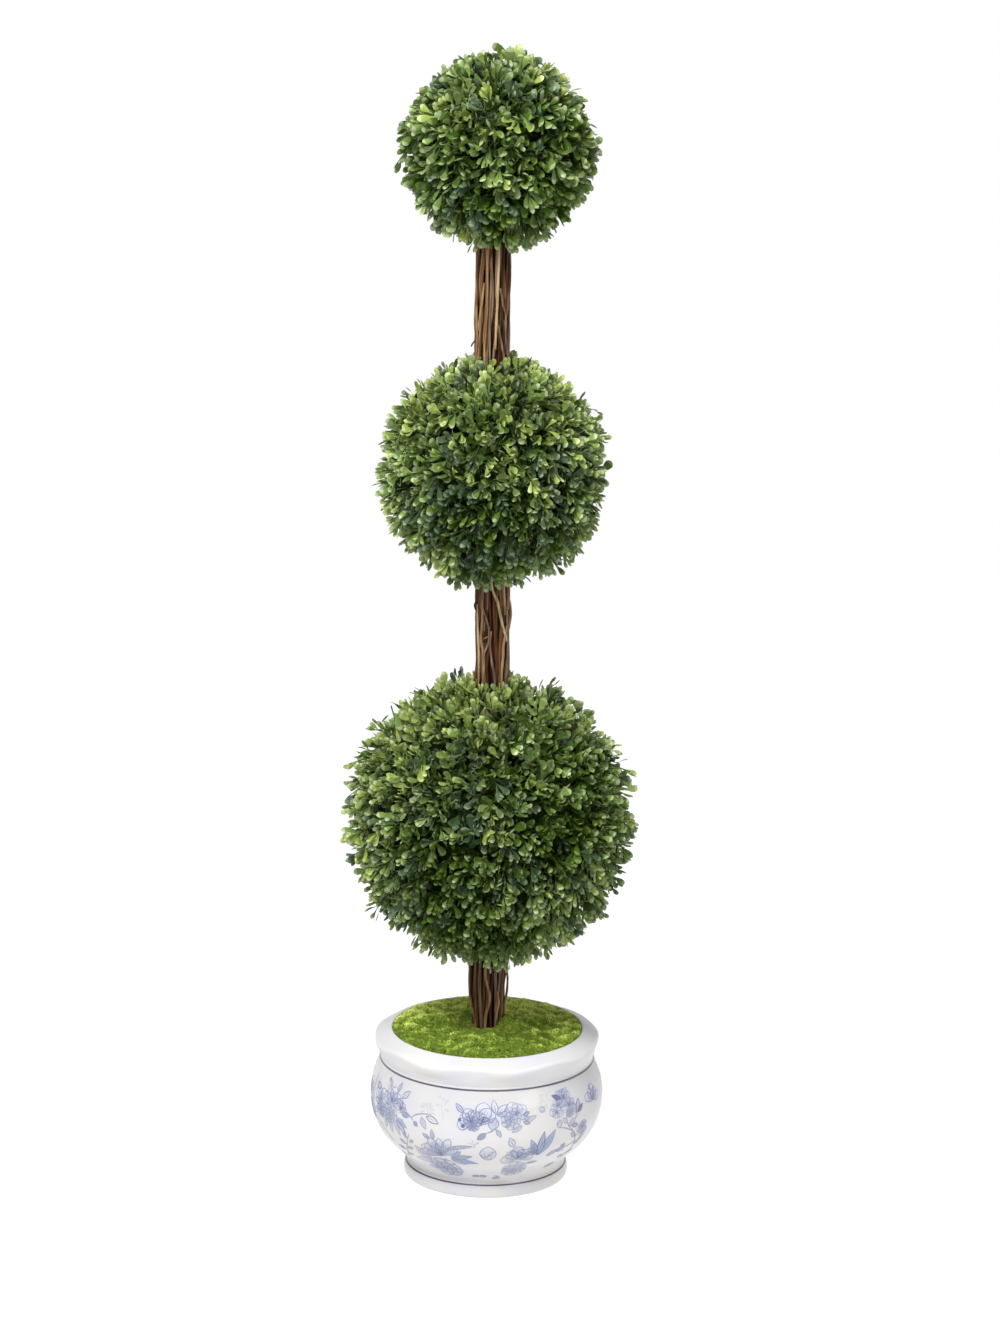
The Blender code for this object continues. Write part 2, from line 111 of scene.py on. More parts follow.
# Leaves: angle and height of the foot, turn from upright, length, width, fill, and edge and bend if special
PAINTED_LEAVES = (
    (-75, 100, -4, 24, 8, "faint", "wash", 0.1), (-71, 102, 6, 18, 6, "faint", "wash"),
    (-66, 108, -80, 13, 6, "blue", "dark", 0.1), (-57, 114, -24, 9, 4, "blue"),
    (-51, 113, 14, 12, 4, "wash"), (-47, 109, 44, 13, 6, "wash"),
    (-65, 93, -84, 15, 6, "blue", "dark", -0.1), (-68, 84, -110, 13, 6, "wash", "line", -0.1),
    (-50, 86, 112, 17, 6, "azure", "line", 0.1), (-50, 84, 135, 18, 6, "blue", "dark"),
    (-52, 83, 158, 18, 6, "blue"), (-55, 82, 182, 16, 6, "wash"), (-58, 82, 206, 15, 6, "wash"),
    (-46, 92, 84, 12, 5, "azure", "line", -0.1), (-30.8, 97.5, 106, 16, 6.5, "wash", "dark", 0.12),
    (-33.5, 96, 160, 14, 6, "blue", "line", -0.1), (-43.5, 66, -48, 9, 3.5, "hatch"),
    (-46, 58, -62, 10, 3.5, "hatch"), (-49, 49, -70, 11, 4, "wash"), (-53, 38, -74, 11, 4, "wash"),
    (-43, 62, 58, 8, 3.5, "hatch"), (-46, 53, 70, 9, 4, "hatch"), (-50, 43, 74, 10, 4, "wash"),
    (-27, 73, -6, 12, 4.5, "faint"), (-29, 73, -58, 10, 4, "faint"),
    (-21, 63, 70, 31, 4, "wash", "line", 0.16), (-18.5, 53, 47, 16, 5.5, "azure"),
    (-18.5, 52, 75, 24, 6, "azure"), (-18.5, 51, 96, 28, 6.5, "azure", "line", 0.06),
    (-18, 50, 112, 16, 5, "blue"), (-31, 46, -52, 24, 10, "wash", "line", 0.12),
    (-31, 42, -84, 22, 9, "wash", "line", -0.1), (-29, 37, -118, 18, 8, "wash"),
    (-4, 26, -92, 8, 5, "faint"), (-4, 26, 88, 8, 5, "faint"), (4.5, 23, 88, 9, 4.5, "faint"),
    (9.5, 25, -60, 7, 4, "faint", "wash"), (-11, 107, -52, 13, 5.5, "blue", "line", 0.16),
    (-3.5, 101, 92, 12, 5, "blue", "dark"), (5.2, 106, -16, 16, 6.5, "wash", "line", 0.1),
    (5.4, 106, 42, 15, 6, "wash", "line", 0.1), (5.6, 105, 78, 11, 5, "wash", "line", -0.1),
    (5.2, 90, 150, 10, 4.5, "faint"), (18.5, 103, 62, 8, 3.5, "blue", "dark"),
    (18.5, 100, 84, 8, 3.5, "blue"), (18.5, 97, 110, 8, 3.5, "blue", "dark"),
    (19.5, 96, 62, 14, 4.5, "faint", "line", 0.1), (18, 93, 235, 13, 4.5, "wash", "line", 0.1),
    (14.5, 69, -32, 13, 7, "wash", "line", 0.14), (27, 57, -72, 13, 4.5, "wash"),
    (27.2, 58, -50, 14, 4.5, "blue"), (27.4, 59, -28, 14, 4.5, "wash"), (28, 55, -26, 25, 7, "azure"),
    (28.2, 55, 6, 30, 7.5, "azure", "dark", 0.03), (28.5, 55, 29, 34, 9.5, "azure", "line", 0.03),
    (23, 45, 82, 13, 4, "wash", "line", 0.12), (42, 30, 60, 12, 7, "blue", "dark"),
    (46.5, 44, 75, 13, 3.5, "wash", "faint"), (41, 113, -62, 13, 5, "dark", "dark"),
    (50.5, 94, -22, 14, 6, "blue"), (51, 94, 14, 15, 6, "blue", "dark"),
    (51.5, 94, 52, 12, 5, "dark", "dark"), (52, 80, -80, 11, 4.5, "blue", "dark"),
    (34.5, 51, 62, 16, 5, "wash", "line", 0.1), (39.5, 55, 84, 12, 5, "wash"),
    (57, 60, 30, 16, 7, "wash", "line", 0.1), (45, 82, 52, 13, 5.5, "wash", "line", 0.1),
    (44, 86, -42, 10, 4.5, "wash"), (52, 66, -52, 12, 5, "blue"), (53, 56, 66, 13, 5.5, "wash"),
    (50, 42, -66, 12, 5, "wash"), (51, 45, 58, 10, 4.5, "blue"),
)
# Blooms: angle, height, turn, spread of the fan, petals, their length and width, fill
PAINTED_BLOOMS = (
    (-54, 100, 6, 150, 5, 18, 12, "wash"), (-54, 101, -12, 80, 3, 12, 8, "blue"),
    (-65, 95, 4, 110, 4, 17, 11, "wash"), (-48, 97, 52, 90, 3, 12, 9, "wash"),
    (-23.5, 54, -16, 130, 6, 27, 9, "wash"), (-23.5, 54, -30, 90, 4, 18, 6, "blue"),
    (-7, 97, -24, 150, 5, 16, 13, "wash"), (-7, 96, -10, 80, 3, 10, 8, "blue"),
    (-3, 94, 24, 16, 2, 25, 17, "wash"), (14.5, 104, 34, 96, 4, 15, 12, "wash"),
    (17, 53, -6, 160, 5, 18, 13, "wash"), (17, 54, 20, 90, 3, 11, 8, "blue"),
    (42.5, 112, 10, 90, 4, 13, 8, "blue"), (38.5, 106, -10, 150, 4, 10, 8, "wash"),
    (45, 104, 30, 150, 4, 11, 8, "blue"), (37.5, 103, 196, 110, 3, 10, 9, "wash"),
    (56, 74, 20, 200, 5, 9, 8, "wash"), (66, 98, 10, 130, 5, 18, 10, "wash"),
    (97, 92, 6, 140, 5, 19, 12, "wash"), (95, 66, -40, 120, 4, 17, 11, "wash"),
)
# Roses: angle, height, width, tallness
PAINTED_ROSES = (
    (-55, 88, 24, 21), (-64, 87, 22, 18), (-24.5, 36, 35, 40), (-6.5, 94, 15, 12), (12.5, 101, 22, 25),
    (17.5, 37, 27, 33), (46, 97, 12, 11), (101, 78, 24, 24),
)
# A rose's rings of petals: how many, where they start and how long they are as shares of its reach, fill
ROSE_RINGS = ((9, 0.5, 0.5, "wash"), (7, 0.28, 0.36, "wash"), (5, 0.06, 0.3, "blue"))
# Buds: angle, height of the foot, turn, length, width, fill
PAINTED_BUDS = (
    (-60, 119, 4, 5, 3.5, "line"), (-38.2, 89, 130, 7, 4.5, "line"), (4.6, 103, 196, 14, 11, "blue"),
    (0.2, 86, 232, 12, 6, "line"), (1.2, 53, 0, 19, 17, "wash"), (39.5, 92, 200, 9, 7, "wash"),
    (43, 55, 20, 9, 5.5, "line"), (30.5, 105, -60, 8, 6, "faint"), (-12.2, 99, -80, 3.5, 3, "dark"),
    (-10.4, 94, -120, 4.5, 3.5, "dark"),
)
# Sprays of dashes: angle, height of the foot, turn, length of the stem, spread, number and length of the rays
PAINTED_SPRAYS = (
    (-30.2, 100, -2, 8, 230, 9, 9), (-21.8, 97, -6, 20, 210, 8, 8), (36, 113, -80, 12, 200, 8, 9),
    (-9, 74, 96, 8, 150, 5, 5), (88, 108, -20, 14, 220, 8, 8), (108, 60, 30, 12, 200, 7, 8),
)
# Shading in short strokes: angle, height, width, tallness, how many
PAINTED_SHADES = (
    (-58, 98, 38, 44, 110), (-52, 84, 30, 16, 40), (-29, 52, 34, 40, 90), (-24, 36, 34, 36, 60),
    (-7.5, 99, 15, 18, 34), (-1.5, 103, 14, 16, 14), (13, 100, 19, 22, 60), (4.5, 96, 9, 10, 12),
    (1.2, 60, 15, 15, 26), (17, 58, 22, 22, 44), (17.5, 38, 24, 28, 44), (42.5, 108, 22, 26, 70),
    (51.5, 96, 10, 14, 16), (39, 88, 8, 9, 8), (57, 72, 14, 20, 26), (65.5, 106, 16, 20, 36),
    (44, 56, 10, 12, 10), (43.5, 31, 8, 8, 8), (99, 86, 30, 36, 60),
)
SHADE_LENGTH = (2.0, 5.0)
SHADE_WIDTH = (0.7, 1.5)
# Stems: points by angle and height
PAINTED_STEMS = (
    ((-48, 93), (-43, 96), (-38.2, 90)), ((-40, 92), (-35.5, 98), (-28, 101)),
    ((-66, 72), (-63, 62), (-57, 54)), ((-57, 28), (-50, 43), (-46, 56), (-41.6, 73)),
    ((4, 90), (2.5, 88), (0.2, 86)), ((43, 98), (44.5, 84), (50, 72), (53, 60), (53, 48), (49, 36)),
    ((38.5, 84), (44, 80), (50.5, 72)), ((52, 66), (54, 70), (56, 74)),
    ((36, 50), (42, 55), (50, 58), (53, 60)),
)

# Moss dome
MOSS_RADIUS = 99.2
MOSS_EDGE_TOP = 160.4
MOSS_CROWN_TOP = 163.0
MOSS_TUFTS = 34000
# Mounds against the trunk: x, y, height, spread
MOSS_MOUNDS = (
    (21, -9, 13, 11), (-16, 16, 5, 14), (48, 30, 2.5, 20), (-52, 20, 2, 18),
)
MOSS_GROUND = ((0.14, 0.19, 0.024), (0.29, 0.4, 0.05))
# The pale green lights the back of the moss, where it lies in shade: painted light
MOSS_GREENS = (
    ("dark", (0.195, 0.29, 0.036)),
    ("mid", (0.395, 0.535, 0.072)),
    ("bright", (0.6, 0.73, 0.155)),
    ("pale", (0.86, 0.95, 0.25)),
)
# How much paler the moss turns for each millimetre to the right and to the back, painted light where the ball
# and trunk above shade it
MOSS_LIGHT_WAY = (0.003, 0.019)
# How much paler it is on its lumps (painted shade in the pits), how much darker by the trunk (a painted
# shadow round its foot), and where one green gives way to the next
MOSS_LUMP_SHADE = 1.9
MOSS_FOOT_SHADOW = 1.7
MOSS_CUTS = (-0.6, 0.25, 1.05)
# Painted shadow in the moss, as darker patches: place, change of shade and spread
MOSS_SHADOW_SPOTS = (
    (-44, -12, -1.1, 22), (-18, -8, -0.7, 12), (34, -34, -0.7, 12), (60, -6, -0.6, 14),
)

# Trunk: height and outer radius, close to the solids'
TRUNK_BASE = 149.3
TRUNK_TIP = 1118.0
TRUNK_RADII = (
    (149.3, 16.4), (172, 17.5), (200, 19.9), (215, 20.6), (262, 20.6), (420, 19), (600, 17.9),
    (800, 17.9), (930, 18.3), (1060, 17.6), (1118, 15),
)
TRUNK_LEAN = 1.2
TRUNK_SWAY = 2.4
# Layers of vines: how many, how unevenly set, barks and their shares, top, twist, depth, radius, sway, sides
VINE_LAYERS = (
    (21, 0.25, ("tan", "grey", "brown", "red"), (0.2, 0.24, 0.32, 0.24), TRUNK_TIP,
        1.1, (0.0, 2.2), (1.3, 2.1), 0.22, 8),
    # The deeper layer mostly in dark bark: painted shade between the outer vines
    (18, 0.4, ("brown", "red", "dark"), (0.12, 0.28, 0.6), TRUNK_TIP - 10.0,
        0.8, (3.4, 5.2), (1.5, 2.2), 0.2, 7),
)
# Depth of the near-black middle below the vines' outer face: painted shade inside the bundle
PITH_DEPTH = 7.5
# Where the bundle is pinched on its right: turn from the front, height, depth
TRUNK_DENT = (90.0, 206.0, 3.4)
# Each vine's paler and darker bark
BARK = {
    "cream": ((0.53, 0.395, 0.225), (0.29, 0.18, 0.085)),
    "tan": ((0.36, 0.23, 0.11), (0.15, 0.076, 0.028)),
    "grey": ((0.235, 0.158, 0.098), (0.092, 0.054, 0.029)),
    "brown": ((0.16, 0.08, 0.032), (0.046, 0.019, 0.007)),
    "red": ((0.1, 0.033, 0.014), (0.028, 0.008, 0.003)),
    "dark": ((0.04, 0.018, 0.007), (0.008, 0.004, 0.0015)),
}
# Strands that cross the bundle in front: bark, radius, then points by turn, height and stand-off
TRUNK_STRANDS = (
    ("tan", 1.6, (-8, 250, 0.4), (-9, 224, 0.8), (0, 210, 1), (5, 199, 1), (0, 188, 0.8),
        (-8, 176, 0.6), (-8, 156, 0)),
    ("grey", 1.6, (-24, 256, 0.2), (-27, 209, 0.8), (-24, 183, 0.6), (-22, 156, 0)),
    ("brown", 1.7, (-42, 252, 0.4), (-44, 209, 0.6), (-42, 158, 0)),
    ("tan", 1.4, (-72, 245, 0), (-88, 206, 0.8), (-60, 180, 0.4), (-50, 156, 0)),
    ("grey", 1.5, (24, 250, 0.2), (22, 226, 0.6), (27, 190, 0.4), (30, 168, 0)),
    ("brown", 1.7, (48, 250, 0.4), (46, 215, 0.2), (52, 175, 0)),
    ("tan", 1.4, (30, 205, 0), (36, 194, 0.8), (34, 180, 0.4), (32, 165, 0)),
    ("grey", 1.2, (66, 232, 0.2), (88, 214, 1), (88, 201, 1.2), (70, 186, 0.4)),
    ("cream", 1.45, (-10, 664, 0), (0, 641, 0.6), (17, 627, 1), (27, 613, 1.2), (37, 601, 1.2),
        (49, 591, 1), (62, 583, 0.4)),
    ("tan", 1.45, (60, 600, 0.2), (42, 581, 0.8), (40, 568, 0.8), (34, 551, 0.6), (36, 528, 0)),
    ("cream", 1.35, (-64, 622, 0), (-62, 606, 0.7), (-56, 588, 0.8), (-52, 568, 0.6), (-54, 536, 0.2)),
    ("tan", 1.6, (-40, 628, 0.4), (-37, 607, 0.8), (-42, 585, 0.8), (-31, 570, 0.4), (-34, 540, 0)),
    ("grey", 1.2, (-38, 622, 0.4), (-16, 604, 0.9), (-11, 591, 1.1), (-15, 582, 1.1), (-29, 570, 1),
        (-33, 556, 0.8), (-32, 536, 0.4)),
    ("grey", 1.25, (-4, 596, 0), (-8, 582, 0.8), (-2, 565, 0.9), (7, 548, 0.6), (10, 530, 0)),
    ("tan", 0.7, (-33, 587, 0.2), (-21, 589, 0.7), (-9, 592, 0.4)),
    ("tan", 1.7, (66, 634, 0), (84, 619, 2), (88, 608, 2.2), (78, 592, 0)),
    ("dark", 1.3, (-84, 624, 0), (-87, 619, 1.6), (-84, 614, 0)),
    ("tan", 1.8, (42, 652, 0.2), (44, 630, 0.6), (52, 612, 0.2)),
    ("grey", 1.7, (-42, 660, 0.3), (-38, 640, 0.5), (-44, 618, 0)),
    ("red", 1.6, (4, 640, 0.2), (6, 610, 0.5), (12, 580, 0.4), (20, 548, 0)),
    ("cream", 1.45, (19, 1004, 0.4), (18, 976, 0.9), (16, 955, 1.1), (14, 925, 1.1), (11, 892, 1)),
    ("tan", 1.4, (-22, 1004, 0.2), (-20, 961, 0.8), (-22, 929, 0.8), (-27, 905, 0.6), (-26, 874, 0)),
    ("tan", 1.2, (-30, 960, 0.4), (-40, 933, 0.9), (-57, 909, 0.4)),
    ("grey", 1.2, (-5, 972, 0.3), (-7, 945, 0.8), (-9, 921, 0.7), (-7, 878, 0)),
    ("grey", 1.2, (-74, 955, 0), (-77, 935, 0.8), (-74, 912, 0)),
    ("grey", 1.1, (26, 955, 0.3), (36, 938, 0.8), (48, 925, 0.8), (50, 905, 0.4), (46, 880, 0)),
    ("brown", 1.2, (70, 956, 0), (60, 938, 0.8), (50, 923, 0.9)),
    ("grey", 1.5, (44, 921, 0), (50, 902, 0.8), (74, 876, 0.4)),
    ("grey", 1.3, (20, 918, 0), (30, 900, 0.9), (48, 878, 0.6)),
    ("brown", 0.9, (-82, 898, 0), (-88, 894, 2.6), (-90, 891, 4)),
)
# Paler vines over the upper bundle, dark on its right as painted shade: how many all round, and between which
# heights
UPPER_VINES = 15
UPPER_BAND = (858.0, 1018.0)
# Heights between which loose strands cross at the sides and back, and how many
CROSSINGS = ((160.0, 255.0), (530.0, 650.0), (870.0, 1010.0))
CROSSING_STRANDS = 12

# Balls: node, centre height, reach of the leaf tips, size of the leaves, tone, how often a sprig is greyish
# with painted sheen
BALLS = (
    ("ball_bottom", 389.0, 152.2, 1.05, 0.12, 0.1),
    ("ball_middle", 760.0, 120.4, 1.08, 0.44, 0.14),
    ("ball_top", 1093.5, 100.6, 1.24, -0.24, 0.1),
)
# Parts of a ball's front: place across and up as shares of its reach, change of tone, of greyness (painted
# sheen), spread
TONE_SPOTS = {
    "ball_bottom": (
        (-0.44, -0.16, -2.1, 0.15, 0.31), (0.3, -0.1, -1.9, 0, 0.15), (0.56, 0.16, -2.8, 0.2, 0.28),
        (0.1, -0.72, -1.7, 0, 0.26), (0.3, -0.4, 1.3, 0, 0.28), (0.46, 0.5, 0.9, 0, 0.24),
        (-0.02, 0.48, -1, 0.4, 0.26), (0.5, 0.72, -1.4, 0.1, 0.24), (-0.65, 0.56, 2.8, 0, 0.28),
        (-0.3, 0.8, 1.7, 0, 0.24), (-0.8, -0.3, 0.9, 0, 0.26),
    ),
    "ball_middle": (
        (-0.38, -0.2, -2.3, 0.5, 0.32), (-0.52, 0, -2.4, 0.4, 0.22), (-0.07, -0.58, -2.8, 0.5, 0.34),
        (0.35, -0.5, -1.4, 0.3, 0.26), (0.62, 0.16, -0.2, 0.4, 0.26), (0.48, -0.1, 1.7, 0, 0.26),
        (0.16, 0.24, 1.4, 0, 0.26), (-0.62, 0.68, 1.1, 0, 0.26), (0.06, 0.85, 1.3, 0, 0.26),
        (0.36, 0.46, 1.5, 0, 0.24), (-0.58, -0.74, 2.4, -0.6, 0.2),
    ),
    "ball_top": (
        (-0.38, -0.57, -2.2, 0.1, 0.28), (-0.46, -0.08, -2.8, 0, 0.3), (0.48, 0.02, -1.4, 0.2, 0.22),
        (-0.3, 0.82, -0.7, 0.1, 0.28), (0.08, -0.76, -2.2, 0, 0.26), (0.52, 0.62, -1.5, 0.3, 0.28),
        (0.22, 0.2, -2.2, 0, 0.22), (-0.34, 0.46, 0.8, 0, 0.2), (0.4, -0.62, -0.9, 0, 0.26),
        (0.1, -0.14, 1.4, 0, 0.18), (-0.7, 0.5, 1.2, 0, 0.26),
    ),
}
SPRIG_AREA = 208.0
# Sprigs that stand out beyond the rest: how many of them, and by what share of the reach
STRAY_SHARE = 0.1
STRAY_RISE = 0.05
SPRIG_DROOP = -0.4
# How much the trunk pushes the sprigs beside it aside, and from how near
TRUNK_PUSH = 0.22
PUSH_ROOM = 14.0
# How far out the sprigs' tips stand as a share of the reach: the mean, a slow swell, and a scatter
SPRIG_OUT = 0.965
SPRIG_SWELL = 0.014
SPRIG_SCATTER = (-0.085, 0.045)
SPRIG_LEAN = 0.28
# Where a sprig's twig starts and ends, back from its tip
TWIG_SPAN = (34.0, 5.0)
# How far from the ball's middle a leaf may end, as a share of the reach
LEAF_LIMIT = 1.06
# Below the first share a pair wears the colour of the pair before it, above the second that of the next
PAIR_DRIFT = (0.18, 0.82)
# Painted light and shade in a sprig's tone: how much it rises towards the ball's top and its right, at both
# sides, and under the ball; lighter on top and to the left where the softbox falls, lighter at the sides as a
# painted rim light, and lighter under the ball as painted light from the floor
LIGHT_TONE_UP = 1.0
LIGHT_TONE_RIGHT = -0.12
RIM_LIGHT_TONE = 0.4
UNDER_LIGHT_TONE = 2.6
# Upright sprigs close round the trunk where it leaves a ball's top: how many, their distance from its middle
# and from the ball's, the last as shares of the reach
COLLAR_SPRIGS = 18
COLLAR_OUT = (23.0, 31.0)
COLLAR_FAR = (0.97, 1.01)
BALL_SHAPE = np.array([1.0, 1.0, 1.02])
CORE_DEPTH = 38.0

# Leaves up a sprig: distance back from its tip, lean off its axis in degrees, length
LEAF_PAIRS = (
    (8.5, 14, 12), (13, 30, 15.5), (18, 42, 17), (24, 48, 17), (30, 57, 17.5), (36, 62, 17.5),
)
# Down the middle of a leaf: distance along, half width and rise, and how far its edges curl up
LEAF_ROWS = (
    (0, 0.03, 0, 0), (0.32, 0.07, -0.04, 0.01), (0.56, 0.172, -0.07, 0.042), (0.8, 0.205, -0.045, 0.066),
    (0.94, 0.13, 0.008, 0.032),
)
LEAF_TIP_RISE = 0.036
# The first stretch between those rows that wears the tip's colour, lighter as the plastic's tips are and
# brightened further as painted highlight
LEAF_PALE_FROM = 3

LEAF_COLOURS = {
    "shade": (0.025, 0.054, 0.003),
    "deep": (0.055, 0.102, 0.01),
    "moss": (0.136, 0.193, 0.053),
    "green": (0.108, 0.171, 0.038),
    "leek": (0.238, 0.311, 0.148),
    "fresh": (0.17, 0.256, 0.055),
    "celery": (0.342, 0.41, 0.192),
    "lime": (0.262, 0.35, 0.071),
    "yellow": (0.416, 0.488, 0.192),
    # Greyish greens: painted sheen of the glossy leaves
    "slate": (0.042, 0.076, 0.032),
    "grey": (0.104, 0.149, 0.075),
    "pale": (0.234, 0.298, 0.182),
}
# The colours deep in the ball, which shine less
LEAF_SHADED = ("shade", "deep", "slate")
# A leaf's own colour and its tip's; the tip's is partly the plastic's own paler tip and partly painted
# highlight
LEAF_KINDS = {
    "shade": ("shade", "deep"),
    "deep": ("deep", "moss"),
    "green": ("green", "leek"),
    "fresh": ("fresh", "celery"),
    "lime": ("lime", "yellow"),
    "slate": ("slate", "grey"),
    "grey": ("grey", "pale"),
}
# What the pairs of a sprig wear, from its tip down, by family; the lower pairs, deeper in the ball, go to
# deep and shade greens as painted shade
FAMILIES = (
    ("lime", "lime", "fresh", "green", "green", "deep"),
    ("fresh", "fresh", "green", "green", "deep", "deep"),
    ("green", "green", "green", "deep", "deep", "shade"),
    ("green", "deep", "deep", "deep", "shade", "shade"),
    ("deep", "deep", "shade", "shade", "shade", "shade"),
    ("grey", "grey", "slate", "slate", "deep", "shade"),
    ("slate", "slate", "slate", "deep", "shade", "shade"),
)
# Where one family gives way to the next as the tone falls
FAMILY_CUTS = (-1.0, -0.05, 0.8, 1.75)
# The tone that divides the last two families, the greyish ones, whose grey greens are painted sheen of the
# glossy leaves
GREY_SHEEN_DIVIDE = -0.3
TWIG_GREENS = ((0.02, 0.045, 0.012), (0.05, 0.085, 0.028))
# Near-black greens of the inner ball: painted shade deep inside the ball
CORE_SHADE_GREENS = ((0.008, 0.02, 0.004), (0.018, 0.038, 0.009))
PLASTER = ((0.38, 0.36, 0.31), (0.52, 0.5, 0.44))


def set_inputs(node, values):
    for socket, value in values.items():
        node.inputs[socket].default_value = value


def add_nodes(tree, *kinds):
    return [tree.nodes.new(f"ShaderNode{kind}") for kind in kinds]


def shade_nodes(name, colour, roughness, specular=0.5):
    """A look of one colour, and its shader."""
    look = bpy.data.materials.new(name)
    look.use_nodes = True
    shader = look.node_tree.nodes["Principled BSDF"]
    set_inputs(shader, {"Base Color": (*colour, 1.0), "Roughness": roughness, "Specular IOR Level": specular})
    return look, shader


def clouded_look(name, low, high, roughness, specular, scale, detail=4.0, cuts=(0.36, 0.62), relief=None):
    """A look clouded between two colours by noise of a scale per metre, and its relief by the same noise."""
    look, shader = shade_nodes(name, low, roughness, specular)
    tree = look.node_tree
    place, stretch, cloud, ramp = add_nodes(tree, "TexCoord", "Mapping", "TexNoise", "ValToRGB")
    set_inputs(stretch, {"Scale": np.broadcast_to(scale, 3)})
    set_inputs(cloud, {"Scale": 1.0, "Detail": detail})
    for stop, cut, colour in zip(ramp.color_ramp.elements, cuts, (low, high)):
        stop.position = cut
        stop.color = (*colour, 1.0)
    link = tree.links.new
    link(place.outputs["Object"], stretch.inputs["Vector"])
    link(stretch.outputs["Vector"], cloud.inputs["Vector"])
    link(cloud.outputs["Fac"], ramp.inputs["Fac"])
    link(ramp.outputs["Color"], shader.inputs["Base Color"])
    if relief:
        (bump,) = add_nodes(tree, "Bump")
        set_inputs(bump, {"Strength": relief[0], "Distance": relief[1]})
        link(cloud.outputs["Fac"], bump.inputs["Height"])
        link(bump.outputs["Normal"], shader.inputs["Normal"])
    return look, shader


def shade_by_height(look, shader, stops):
    """Dims a look's colour by height, as painted shade: each stop is a height in millimetres and the share
    left there.
    """
    tree = look.node_tree
    top = stops[-1][0]
    place, split, reach, ramp, dim = add_nodes(
        tree, "TexCoord", "SeparateXYZ", "Math", "ValToRGB", "VectorMath"
    )
    reach.operation = "DIVIDE"
    reach.inputs[1].default_value = top * MM
    dim.operation = "MULTIPLY"
    marks = ramp.color_ramp.elements
    for number, (height, share) in enumerate(stops):
        mark = marks[number] if number < 2 else marks.new(height / top)
        mark.position = height / top
        mark.color = (share, share, share, 1.0)
    link = tree.links.new
    link(shader.inputs["Base Color"].links[0].from_socket, dim.inputs[0])
    link(place.outputs["Object"], split.inputs["Vector"])
    link(split.outputs["Z"], reach.inputs[0])
    link(reach.outputs["Value"], ramp.inputs["Fac"])
    link(ramp.outputs["Color"], dim.inputs[1])
    link(dim.outputs["Vector"], shader.inputs["Base Color"])


def add_object(name, data):
    made = bpy.data.objects.new(name, data)
    bpy.context.scene.collection.objects.link(made)
    return made


def mesh_piece(name, node, points, faces, *looks):
    """A mesh in place of a node: points in millimetres, and one or more arrays of equal-sided faces."""
    groups = faces if isinstance(faces, list) else [faces]
    corners = np.concatenate([group.ravel() for group in groups]).astype(np.int32)
    sizes = np.concatenate([np.full(len(group), group.shape[1], np.int32) for group in groups])
    mesh = bpy.data.meshes.new(name)
    mesh.vertices.add(len(points))
    mesh.vertices.foreach_set("co", (points * MM).astype(np.float32).ravel())
    mesh.loops.add(len(corners))
    mesh.loops.foreach_set("vertex_index", corners)
    mesh.polygons.add(len(sizes))
    mesh.polygons.foreach_set("loop_start", (np.cumsum(sizes) - sizes).astype(np.int32))
    mesh.polygons.foreach_set("use_smooth", np.ones(len(sizes), bool))
    mesh.update(calc_edges=True)
    mesh.validate()
    for look in looks:
        mesh.materials.append(look)
    made = add_object(name, mesh)
    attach(made, "root")
    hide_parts(node)
    return made


def many(points, *faces):
    """The points of many like shapes in one list, and the faces of one shape repeated for them all."""
    start = (np.arange(len(points)) * points.shape[1])[:, None, None]
    return points.reshape(-1, 3), [(group + start).reshape(-1, group.shape[1]) for group in faces]


def beside(*columns):
    """Columns of numbers side by side, such as coordinates."""
    return np.stack(columns, -1)


def unit(vectors):
    return vectors / np.linalg.norm(vectors, axis=-1, keepdims=True)


def even_directions(count, rng):
    golden = math.pi * (3.0 - math.sqrt(5.0))
    index = np.arange(count)
    height = 1.0 - 2.0 * (index + 0.5) / count
    flat = np.sqrt(1.0 - height**2)
    ways = beside(flat * np.cos(golden * index), flat * np.sin(golden * index), height)
    return unit(ways + rng.normal(0.0, 1.0 / math.sqrt(count), (count, 3)))


def square_to(along, hint):
    """Two unit vectors square to each given one and to one another."""
    first = unit(np.cross(along, hint))
    return first, np.cross(along, first)


def trunk_radius(height):
    table = np.array(TRUNK_RADII)
    return np.interp(height, table[:, 0], table[:, 1])


def trunk_centre(height):
    share = (height - TRUNK_BASE) / (TRUNK_TIP - TRUNK_BASE)
    sway = TRUNK_SWAY * np.clip((height - 700.0) / 150.0, 0.0, 1.0)
    right = TRUNK_LEAN * np.sin(TURN * share) - sway
    return beside(right, 0.5 * TRUNK_LEAN * np.sin(1.5 * TURN * share))


def smooth_noise(ways, rng, pitch=4.0):
    """A slow random swell over directions, from about -1 to 1."""
    waves = 7
    total = np.zeros(len(ways))
    for _ in range(waves):
        run = rng.normal(0.0, pitch, 3)
        total += np.sin(ways @ run + rng.uniform(0, TURN))
    return total / math.sqrt(waves) * 0.9


# Leaves and twigs


def leaf_shape():
    """One spoon-shaped leaf of unit length along Y: its points, its quads, its tip triangles."""
    points = []
    for along, half, rise, curl in LEAF_ROWS:
        points += [(-half, along, rise + curl), (0.0, along, rise), (half, along, rise + curl)]
    points.append((0.0, 1.0, LEAF_TIP_RISE))
    tip = len(points) - 1
    quads = [(low, low + 1, low + 4, low + 3) for low in range(tip - 4) if low % 3 < 2]
    triangles = [(tip - 3, tip - 2, tip), (tip - 2, tip - 1, tip)]
    return np.array(points), np.array(quads), np.array(triangles)


